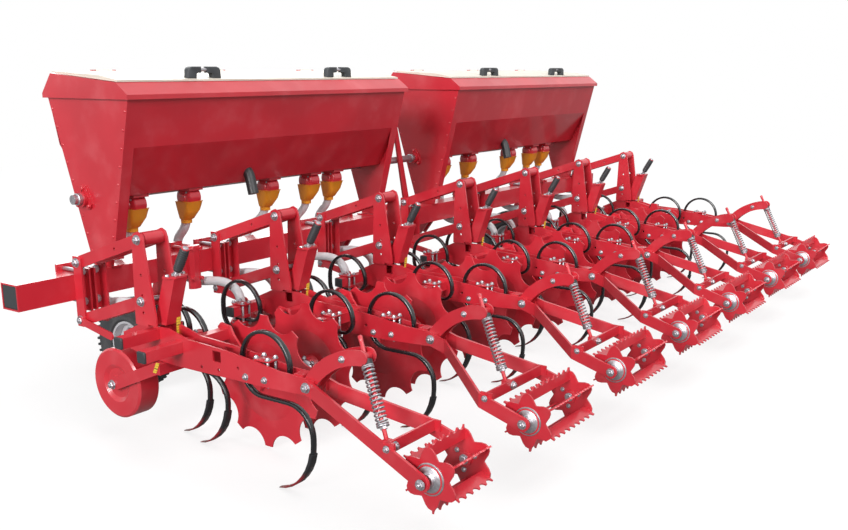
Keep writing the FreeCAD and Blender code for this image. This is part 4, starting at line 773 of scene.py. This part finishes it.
class CULTIVATOR_OT_bolts(bpy.types.Operator):
    """Make the plated bolt heads and nuts of the row units."""

    bl_idname = "cultivator.bolts"
    bl_label = "Bolts and nuts"

    def execute(self, context):
        shapes = []
        for (y, z), left, right, radius, height, rows in ROW_BOLTS:
            pair = placed(hex_head(radius, height, radius * 0.45), [(left, y, z), (right, y, z)],
                          [facing(-1), facing(1)])
            shapes.append(along_rows(pair, rows))
        for places, head, heading in (
            ([(x, CLAMP_REAR, z) for x, z in CLAMP_BOLTS], hex_head(0.0135, 0.0095), BACK),
            ([(x, CLAMP_FRONT, z) for x, z in CLAMP_BOLTS], hex_head(0.0135, 0.0120, 0.0075), AHEAD),
            ([SPRING_LUG], hex_head(0.0125, 0.009, 0.007), BACK),
        ):
            shapes.append(along_rows(placed(head, places, heading)))
        make_piece("row_unit_bolts", shapes, "zinc")
        return {"FINISHED"}


def bar_ends():
    """Free ends of the square bars: place and the way each end looks."""
    for row, centre in enumerate(ROWS):
        for way, open_rows, second in ((-1, LEFT_OPEN, MIDDLE_BAR), (1, RIGHT_OPEN, SECOND_BAR)):
            short = centre + way * SHORT_BAR_END
            if row in open_rows:
                yield (centre + way * LONG_BAR_END, *FRONT_BAR), way
                yield (short, *second), way
            else:
                yield (short, *SPARE_BAR), way
        for way in (-1, 1):
            yield (centre + way * SHORT_BAR_END, *DISC_BAR), way


class CULTIVATOR_OT_bar_caps(bpy.types.Operator):
    """Make the black caps on the ends of the square bars and the plugs in the toolbar."""

    bl_idname = "cultivator.bar_caps"
    bl_label = "Bar caps"

    def execute(self, context):
        cap_side = BAR + 0.0012
        cap = block(oblong(cap_side, cap_side, 0.003), -0.004, 0.0065, 0.0022)
        places, ways = zip(*bar_ends())
        make_piece("bar_caps", [placed(cap, places, [facing(way) for way in ways])], "cap")
        low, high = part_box("toolbar")
        _, y, z = middle_of("toolbar")
        plug = block(oblong(0.0875, 0.0875, 0.004), -0.020, -0.0015, 0.0025)
        make_piece("toolbar_plugs", [placed(plug, [(low[0], y, z), (high[0], y, z)], [facing(-1), facing(1)])], "cap")
        return {"FINISHED"}


CRANK_SEAT = np.array([0.0, 0.142, 0.684])
CRANK_HEADING = np.array([0.0, -0.5, math.sqrt(0.75)])
GRIP_START = 0.030
FLANGE_BOLTS = ((-0.036, 0.142, 0.691), (0.036, 0.142, 0.691))
SCALE_PLACE, SCALE_HEADING = (0.024, 0.1765, 0.4330), (0.0, -0.995, -0.097)
TAG_PLACE = (-GAUGE_ARM_FACE, 0.1965, 0.3515)


class CULTIVATOR_OT_cranks(bpy.types.Operator):
    """Make the depth cranks (threaded spindle and ribbed grip) and the yellow depth scales."""

    bl_idname = "cultivator.cranks"
    bl_label = "Depth cranks"

    def execute(self, context):
        climb = np.linspace(0.006, 0.036, 31)
        thread = np.stack([climb, 0.0098 + 0.0007 * np.cos(np.arange(31) * np.pi)], -1)
        collar = [(0.002, 0.016), (0.008, 0.016), (0.010, 0.012)]
        length = context.scene.cultivator_sizes.grip_length
        share = np.linspace(0.0, 1.0, 80)
        height = GRIP_START + length * share
        rib = 0.0164 + 0.0007 * np.cos(share * 22.0 * np.pi) + 0.0012 * np.sin(share * np.pi)
        grip = np.stack([height, np.where(share > 0.97, 0.0150, np.where(share < 0.03, 0.0155, rib))], -1)
        stop = GRIP_START + length
        end = [(stop, 0.0115), (stop + 0.003, 0.0105), (stop + 0.004, 0.006)]
        metal = [spun(profile, 20) for profile in (thread, collar, end)]
        for shapes, name, finish in ((metal, "crank_spindles", "zinc"), ([spun(grip, 28)], "crank_grips", "cap")):
            make_piece(name, [along_rows(placed(joined(shapes), CRANK_SEAT, CRANK_HEADING))], finish)
        make_piece("crank_flange_bolts", [along_rows(placed(hex_head(0.0075, 0.005), FLANGE_BOLTS, UP))], "zinc")
        strip = placed(block(oblong(0.017, 0.200, 0.001), 0.0, 0.003, 0.0006), SCALE_PLACE, SCALE_HEADING)
        slanted = [(-0.0195, -0.0205), (-0.0015, -0.0205), (0.0195, 0.0205), (0.0015, 0.0205)]
        tag = placed(block(slanted, 0.0, 0.002, 0.0006), TAG_PLACE, facing(-1))
        make_piece("depth_scales", [along_rows(strip), along_rows(tag)], "scale")
        return {"FINISHED"}


# ---- wheels, rollers and discs


def ring_of_bolts(count, reach, place, way, shape, phase=0.0):
    """Copies of a bolt on a circle about an axle along X: y and z are reach times cosine and sine."""
    spots = np.column_stack([np.zeros(count), circle(count, phase) * reach])
    return placed(shape, np.array(place) + spots, facing(way))


class CULTIVATOR_OT_rollers(bpy.types.Operator):
    """Make the plated hubs, the hub bolts and the axle nuts of the star rollers."""

    bl_idname = "cultivator.rollers"
    bl_label = "Roller hubs"

    def execute(self, context):
        dish = spun([(-0.001, 0.0508), (0.0025, 0.0508), (0.0042, 0.0490), (0.0042, 0.0435), (0.0062, 0.0405),
                     (0.0088, 0.0365), (0.0095, 0.0270), (0.0118, 0.0235), (0.0190, 0.0212), (0.0200, 0.0190),
                     (0.0200, 0.0150), (0.0175, 0.0140)], 40)
        small, large = hex_head(0.0068, 0.0050), hex_head(0.0130, 0.0080)
        plate, collar = 0.006, 0.008
        right_face, left_face, left_face_first = 0.096, 0.222, 0.100
        for row, centre in enumerate(ROWS):
            left = centre - (left_face if row else left_face_first)
            shapes = []
            for face, way in ((left, -1), (centre + right_face, 1)):
                inside = face - way * plate
                shapes.append(placed(dish, (face, *ROLLER_AXIS), facing(way)))
                shapes.append(ring_of_bolts(3, 0.037, (inside, *ROLLER_AXIS), -way, small, 0.3))
                shapes.append(placed(large, (inside - way * collar, *ROLLER_AXIS), facing(-way)))
            make_piece("roller_%d_hubs" % (row + 1), shapes, "zinc", "roller_%d" % (row + 1))
        return {"FINISHED"}


class CULTIVATOR_OT_discs(bpy.types.Operator):
    """Make the hub bolts and bearing caps of the crop discs."""

    bl_idname = "cultivator.discs"
    bl_label = "Disc hubs"

    def execute(self, context):
        cap = spun([(0.0, 0.030), (0.004, 0.0300), (0.010, 0.0265), (0.016, 0.0180), (0.018, 0.0080)], 28)
        bolt = hex_head(0.0078, 0.0060, 0.0040)
        for number in range(1, 13):
            node = "crop_disc_%d" % number
            low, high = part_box(node)
            middle = middle_of(node)[0]
            way = 1 if middle > ROWS[np.argmin(np.abs(ROWS - middle))] else -1
            outside = high[0] if way > 0 else low[0]
            shapes = [placed(cap, (outside - way * 0.001, *DISC_AXIS), facing(way)),
                      ring_of_bolts(5, 0.037, (outside - way * 0.0015, *DISC_AXIS), way, bolt)]
            make_piece(node + "_hub", shapes, "zinc", node)
        return {"FINISHED"}


class CULTIVATOR_OT_wheels(bpy.types.Operator):
    """Make the ribbed tyres of the support wheels, with wheel nuts and hub caps."""

    bl_idname = "cultivator.wheels"
    bl_label = "Support wheels"

    def execute(self, context):
        cap = spun([(0.038, 0.029), (0.046, 0.0285), (0.053, 0.0240), (0.056, 0.0140), (0.0565, 0.004)], 28)
        nut = hex_head(0.0095, 0.010, 0.006)
        disc_half, nut_reach = 0.010, 0.062
        for side in SIDES:
            low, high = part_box("support_tyre_" + side)
            x, y, z = middle_of("support_tyre_" + side)
            half, radius = (high[0] - low[0]) / 2.0, (high[2] - low[2]) / 2.0
            tyre = joined([spun(self.section(half, radius), 96, loop=True), self.shoulder_lugs(half, radius)])
            body = "support_wheel_" + side
            piece = make_piece("support_tyre_%s_tread" % side, [placed(tyre, (x, y, z), ACROSS)], "rubber", body, 28.0)
            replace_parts(piece, "support_tyre_" + side)
            shapes = []
            for way in (-1, 1):
                shapes.append(ring_of_bolts(5, nut_reach, (x + way * disc_half, y, z), way, nut))
                shapes.append(placed(cap, (x, y, z), facing(way)))
            make_piece(body + "_nuts", shapes, "zinc", body)
        return {"FINISHED"}

    def section(self, half, radius):
        """Round the tyre's wall and tread: bead, bulged side, shoulder, four ribs, and back."""
        tread = []
        for rib in (-0.60, -0.20, 0.20, 0.60):
            centre = rib * half * 0.86
            wide = half * 0.135
            crown = radius - 0.004 * abs(rib)
            groove, shoulder = crown - 0.009, crown - 0.0015
            tread += [(centre - wide, groove), (centre - wide, shoulder), (centre, crown),
                      (centre + wide, shoulder), (centre + wide, groove)]
        side = [(0.86, 0.66), (0.93, 0.70), (0.99, 0.76), (1.0, 0.80), (0.985, 0.84), (0.93, 0.885), (0.92, 0.90),
                (0.86, 0.935), (0.78, 0.955)]
        bead = [(0.80, 0.52), (0.80, 0.535), (0.90, 0.545), (0.93, 0.57), (0.91, 0.60), (0.86, 0.61)]
        right = [(a * half, b * radius) for a, b in bead + side]
        left = [(-a, b) for a, b in right]
        return left + tread + right[::-1]

    def shoulder_lugs(self, half, radius):
        """Short bars round both shoulders of the tread."""
        lug = block(oblong(0.012, 0.020, 0.003), radius * 0.925, radius - 0.004, 0.002)
        count = 44
        heading = np.column_stack([circle(count), np.zeros(count)])
        return joined([placed(lug, np.tile((0.0, 0.0, way * half * 0.80), (count, 1)), heading) for way in (-1, 1)])


# ---- hoppers and metering

# From the middle of a hopper, along X.
METER_PLACES = (-0.695, -0.405, 0.080, 0.370, 0.540)
HOPPER_END = 0.865
METER_AXIS = (0.706, 0.866)
SHAFT_AXIS = (0.790, 0.902)
ELBOW_WIDTH = 0.070


def handle_elbow(rise):
    """Outline of a left elbow, as high as rise: foot, bent back, and the socket of the rod."""
    return [(0.0, 0.0), (0.046, 0.0), (0.0475, 0.36 * rise), (0.054, 0.45 * rise), (0.074, 0.48 * rise),
            (0.074, rise), (0.024, rise), (0.009, 0.90 * rise), (0.002, 0.70 * rise)]


def lid_folds(start, stop, rear_y):
    """The lid's edges folded over the hopper: its two curved ends and its straight rear edge."""
    bottom, thick, rear_height = 1.3546, 0.003, 0.0039
    end = [(rear_y, bottom), (rear_y + 0.377, 1.3856), (rear_y + 0.377, 1.3897), (rear_y + 0.290, 1.3847),
           (rear_y + 0.110, 1.3727), (rear_y, 1.3583)]
    rear = oblong(0.004, rear_height, 0.0, rear_y + 0.002, 1.3564)
    return [placed(block(end, 0.0, thick, 0.0004), [(start, 0.0, 0.0), (stop - thick, 0.0, 0.0)], ACROSS),
            placed(block(rear, thick, stop - start - thick, 0.0003), (start, 0.0, 0.0), ACROSS)]


class CULTIVATOR_OT_handles(bpy.types.Operator):
    """Make the lids' handles, two moulded elbows and a plated rod each, and the lids' folded edges."""

    bl_idname = "cultivator.handles"
    bl_label = "Lid handles and edges"

    def execute(self, context):
        width = context.scene.cultivator_sizes.handle_width
        for side in SIDES:
            lid = "lid_" + side
            low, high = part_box("lid_handles_" + side)
            y, foot, top = (low[1] + high[1]) / 2.0, low[2] + 0.001, high[2]
            depth, rise = (high[1] - low[1]) / 2.0, high[2] - foot
            outline = handle_elbow(rise)
            mirrored = [(-x, height) for x, height in outline[::-1]]
            starts = (low[0], high[0] - width)
            elbows = [placed(block(shape, -depth, depth, 0.004), [(start + shift, y, foot) for start in starts], BACK)
                      for shape, shift in ((outline, 0.0), (mirrored, width))]
            piece = make_piece(lid + "_elbows", elbows, "cap", lid, 40.0)
            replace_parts(piece, "lid_handles_" + side)
            rod = spun([(0.0, 0.0078), (width - 2.0 * ELBOW_WIDTH, 0.0078)], 20)
            spots = [(start + ELBOW_WIDTH, y, top - 0.27 * rise) for start in starts]
            make_piece(lid + "_grips", [placed(rod, spots, ACROSS)], "zinc", lid)
            (start, rear_y, _), (stop, _, _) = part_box(lid)
            make_piece(lid + "_folds", lid_folds(start, stop, rear_y), "cover", lid)
        return {"FINISHED"}


# Height, half sizes along X and Y, roundness (1 is a circle) and how far ahead the ring stands.
FUNNEL_RINGS = (
    (0.752, 0.0235, 0.0235, 0.95, 0.024),
    (0.768, 0.0240, 0.0240, 0.95, 0.024),
    (0.772, 0.0290, 0.0290, 0.80, 0.021),
    (0.812, 0.0410, 0.0410, 0.50, 0.006),
    (0.846, 0.0480, 0.0450, 0.40, 0.002),
    (0.850, 0.0495, 0.0465, 0.36, 0.0),
)


def funnel():
    """Funnel whose mouth is a rounded square and whose outlet is rounder and stands ahead of it.

    A ring's x and y are its half sizes times the cosine's and sine's size raised to a power, with
    their signs: the power is 1 for a circle and falls towards 0 for a square.
    """
    wave = circle(40)
    rings = []
    for height, half_x, half_y, power, ahead in FUNNEL_RINGS:
        flat = np.sign(wave) * np.abs(wave) ** power * np.array([half_x, half_y])
        rings.append(np.column_stack([flat[:, 0], flat[:, 1] + ahead, np.full(len(flat), height)]))
    return skin(np.array(rings))


class CULTIVATOR_OT_meters(bpy.types.Operator):
    """Make the metering units' covers and screws, and the funnels under them."""

    bl_idname = "cultivator.meters"
    bl_label = "Metering units"

    def execute(self, context):
        cover = spun([(0.0, 0.0425), (0.003, 0.0425), (0.006, 0.0380), (0.0075, 0.0200), (0.0110, 0.0180),
                      (0.0120, 0.0140)], 28)
        screw = hex_head(0.0052, 0.0040)
        cover_face, screw_face, screw_reach = 0.0275, 0.0300, 0.0335
        covers, zinc, funnels = [], [], []
        for side in SIDES:
            for x in middle_of("lid_" + side)[0] + np.array(METER_PLACES):
                for way in (-1, 1):
                    covers.append(placed(cover, (x + way * cover_face, *METER_AXIS), facing(way)))
                    zinc.append(ring_of_bolts(4, screw_reach, (x + way * screw_face, *METER_AXIS), way, screw, 0.5))
                funnels.append(placed(funnel(), (x, METER_AXIS[0], 0.0), UP))
        make_piece("meter_covers", covers, "enamel")
        make_piece("meter_screws", zinc, "zinc")
        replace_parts(make_piece("funnel_cones", funnels, "funnel"), "funnels")
        return {"FINISHED"}


# Row and side (-1 is left) of the boot that each hose feeds, from left to right.
BOOT_ROWS = ((0, 1), (1, -1), (1, 1), (2, -1), (2, 1), (4, -1), (4, 1), (5, -1), (5, 1), (6, -1))
BOOT_SIDE = 0.110

# Places (y, z) from the funnel's outlet down in front of the toolbar, then under it to the boot.
HOSE_DOWN = ((0.729, 0.790), (0.732, 0.752), (0.752, 0.716), (0.800, 0.680), (0.808, 0.610), (0.806, 0.510))
HOSE_BACK = ((0.700, 0.488), (0.590, 0.512), (0.490, 0.512), (0.433, 0.470), (0.431, 0.410), (0.431, 0.360))


def flowing(controls, steps=7):
    """Smooth path drawn by the control points: the uniform cubic spline whose four weights at the
    share t are (1-t)^3, 3t^3-6t^2+4, -3t^3+3t^2+3t+1 and t^3, all over six."""
    controls = np.array(controls, float)
    ends = np.concatenate([2.0 * controls[:1] - controls[1:2], controls, 2.0 * controls[-1:] - controls[-2:-1]])
    share = (np.arange(steps) / steps)[:, None]
    weights = np.hstack([(1.0 - share) ** 3, 3.0 * share ** 3 - 6.0 * share ** 2 + 4.0,
                         -3.0 * share ** 3 + 3.0 * share ** 2 + 3.0 * share + 1.0, share ** 3]) / 6.0
    spans = np.stack([ends[start:len(ends) - 3 + start] for start in range(4)], 1)
    return np.concatenate([np.einsum("tk,skc->stc", weights, spans).reshape(-1, 3), controls[-1:]])


def hose_route(top_x, foot_x):
    """Control points of a hose; one that starts above a lug of the hitch goes sideways early."""
    above_lug = abs(top_x) < 0.5
    early = 0.8 if above_lug else 0.1
    sideways = (0.0, 0.0, 0.3 * early, early, max(early, 0.3), 0.92)
    down = [(top_x + share * (foot_x - top_x), y, z) for share, (y, z) in zip(sideways, HOSE_DOWN)]
    return down + [(foot_x, y, z) for y, z in HOSE_BACK]


class CULTIVATOR_OT_hoses(bpy.types.Operator):
    """Make the milky hoses from the funnels, down in front of the toolbar, to the boots."""

    bl_idname = "cultivator.hoses"
    bl_label = "Hoses"

    def execute(self, context):
        section = circle(16) * context.scene.cultivator_sizes.hose_radius
        tops = [middle_of("lid_" + side)[0] + shift for side in SIDES for shift in METER_PLACES]
        shapes = []
        for top_x, (row, way) in zip(tops, BOOT_ROWS):
            route = hose_route(top_x, ROWS[row] + way * BOOT_SIDE)
            shapes.append(swept(flowing(route), section))
        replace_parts(make_piece("hose_tubes", shapes, "hose", sharp=60.0), "hoses")
        return {"FINISHED"}


# Side view of a hopper's end plate, (y, z): top and foot of the rear and of the front rivet line.
REAR_LINE = ((0.495, 1.285), (0.658, 0.655))
FRONT_LINE = ((0.964, 1.285), (0.756, 0.655))


class CULTIVATOR_OT_hopper_fittings(bpy.types.Operator):
    """Make the shaft collars, the bearing bolts and the rivets on the hoppers' end plates."""

    bl_idname = "cultivator.hopper_fittings"
    bl_label = "Hopper fittings"

    def execute(self, context):
        collar = spun([(0.0, 0.0235), (0.004, 0.0240), (0.016, 0.0240), (0.018, 0.0215)], 24)
        dome = spun([(0.0, 0.0060), (0.0012, 0.0056), (0.0026, 0.0038), (0.0031, 0.0012)], 10)
        bolt = hex_head(0.0085, 0.0065)
        y, z = SHAFT_AXIS
        bearing, collar_seat = 0.008, 0.024
        share = np.linspace(0.06, 0.94, 9)[:, None]
        lines = np.concatenate([np.array(top) + (np.array(foot) - np.array(top)) * share
                                for top, foot in (REAR_LINE, FRONT_LINE)])
        collars, red = [], []
        for side in SIDES:
            middle = middle_of("lid_" + side)[0]
            for way in (-1, 1):
                face = middle + way * HOPPER_END
                spots = [(face + way * bearing, y + a, z + b) for a, b in ((0.0, 0.041), (-0.034, -0.028),
                                                                          (0.034, -0.028))]
                red.append(placed(bolt, spots, facing(way)))
                collars.append(placed(collar, (face + way * collar_seat, y, z), facing(way)))
                red.append(placed(dome, np.column_stack([np.full(len(lines), face), lines]), facing(way)))
        make_piece("hopper_bolts", collars, "zinc")
        make_piece("hopper_rivets", red, "enamel")
        return {"FINISHED"}


# ---- stage

CAMERA_PLACE = (-4.3045, -2.4901, 1.3963)
CAMERA_SHIFT = (0.008, 0.053)
FLOOR_REACH = 60.0
FADE_START, FADE_END = 4.5, 11.0
FLOOR_GLOW = 0.74

# Name, the side it shines from, its spread in radians and its strength.
LAMPS = (
    ("side_lamp", (-0.93, -0.14, 0.33), 0.40, 2.7),
    ("top_lamp", (0.10, -0.30, 0.95), 0.60, 1.0),
    ("rear_lamp", (-0.20, -0.82, 0.54), 0.70, 1.6),
    ("front_lamp", (0.45, 0.80, 0.40), 0.80, 1.3),
)


def soft_lamp(name, side, spread, strength):
    """A wide distant lamp that shines from the side given, as even along the machine as daylight."""
    lamp = bpy.data.lights.new(name, "SUN")
    lamp.angle = spread
    lamp.energy = strength
    holder = bpy.data.objects.new(name, lamp)
    bpy.context.scene.collection.objects.link(holder)
    x, y, z = side
    holder.location = 8.0 * np.array(side)
    holder.rotation_euler = (math.atan2(math.hypot(x, y), z), 0.0, math.atan2(x, -y))


def floor_finish():
    """Pale matt floor that looks white to the camera, keeps the shadow, and fades out far away."""
    finish = material("pale_floor")
    camera_ray = finish.ray("Is Camera Ray")
    tone = finish.mix(finish.noise(0.8, 2.0), (0.24, 0.24, 0.24), (0.27, 0.27, 0.27))
    matt = finish.node("ShaderNodeBsdfDiffuse", None, {"Color": tone})
    lit = finish.node("ShaderNodeAddShader", None, {0: matt, 1: finish.glow(camera_ray * FLOOR_GLOW)})
    x, y = finish.axis(0), finish.axis(1)
    far = ((x * x + y * y) ** 0.5).step(FADE_START, FADE_END) * camera_ray
    return finish.end(finish.node("ShaderNodeMixShader", None, {0: far, 1: lit, 2: finish.glow(1.0)}))


def studio_world(fill):
    """Even light from all round, seen as plain white by the camera, in gloss and through glass."""
    sky = Finish(bpy.data.worlds.new("studio"))
    seen = sky.ray("Is Camera Ray")
    for kind in ("Is Glossy Ray", "Is Transmission Ray"):
        seen = seen.calculate("MAXIMUM", seen, sky.ray(kind))
    plain, white = (sky.glow(strength, "ShaderNodeBackground") for strength in (fill, 1.0))
    return sky.end(sky.node("ShaderNodeMixShader", None, {0: seen, 1: plain, 2: white}), "ShaderNodeOutputWorld")


class CULTIVATOR_OT_stage(bpy.types.Operator):
    """Make the camera, the lamps, the even light and the pale floor."""

    bl_idname = "cultivator.stage"
    bl_label = "Stage"

    def execute(self, context):
        scene = context.scene
        setting = scene.cultivator_stage
        scene.view_settings.view_transform = "Standard"
        lens = bpy.data.cameras.new("camera")
        lens.lens = setting.lens
        lens.shift_x, lens.shift_y = CAMERA_SHIFT
        lens.clip_end = 200.0
        camera = bpy.data.objects.new("camera", lens)
        scene.collection.objects.link(camera)
        camera.location = CAMERA_PLACE
        camera.rotation_euler = (math.pi / 2 - setting.pitch, 0.0, -setting.yaw)
        scene.camera = camera
        for lamp in LAMPS:
            soft_lamp(*lamp)
        scene.world = studio_world(setting.fill)
        mesh = bpy.data.meshes.new("floor")
        corners = [(x * FLOOR_REACH, y * FLOOR_REACH, 0.0) for x, y in ((-1, -1), (1, -1), (1, 1), (-1, 1))]
        mesh.from_pydata(corners, [], [(0, 1, 2, 3)])
        mesh.materials.append(floor_finish())
        floor = bpy.data.objects.new("floor", mesh)
        scene.collection.objects.link(floor)
        return {"FINISHED"}


# ---- panel and order of making


class CULTIVATOR_PT_panel(bpy.types.Panel):
    """Lists the steps in the order they are made."""

    bl_label = "Cultivator"
    bl_idname = "CULTIVATOR_PT_panel"
    bl_space_type = "VIEW_3D"
    bl_region_type = "UI"
    bl_category = "Cultivator"

    def draw(self, context):
        for step in STEPS:
            self.layout.operator(step.bl_idname)


STEPS = (
    CULTIVATOR_OT_stage,
    CULTIVATOR_OT_finishes,
    CULTIVATOR_OT_tines,
    CULTIVATOR_OT_tine_clamps,
    CULTIVATOR_OT_springs,
    CULTIVATOR_OT_bolts,
    CULTIVATOR_OT_bar_caps,
    CULTIVATOR_OT_cranks,
    CULTIVATOR_OT_rollers,
    CULTIVATOR_OT_discs,
    CULTIVATOR_OT_wheels,
    CULTIVATOR_OT_handles,
    CULTIVATOR_OT_meters,
    CULTIVATOR_OT_hoses,
    CULTIVATOR_OT_hopper_fittings,
)
CLASSES = (CultivatorColours, CultivatorSizes, CultivatorStage, *STEPS, CULTIVATOR_PT_panel)


def register():
    for cls in CLASSES:
        bpy.utils.register_class(cls)
    bpy.types.Scene.cultivator_colours = bpy.props.PointerProperty(type=CultivatorColours)
    bpy.types.Scene.cultivator_sizes = bpy.props.PointerProperty(type=CultivatorSizes)
    bpy.types.Scene.cultivator_stage = bpy.props.PointerProperty(type=CultivatorStage)


def unregister():
    del bpy.types.Scene.cultivator_colours
    del bpy.types.Scene.cultivator_sizes
    del bpy.types.Scene.cultivator_stage
    for cls in reversed(CLASSES):
        bpy.utils.unregister_class(cls)


def main():
    register()
    for step in STEPS:
        getattr(bpy.ops.cultivator, step.bl_idname.split(".")[1])()


if __name__ == "__main__":
    main()
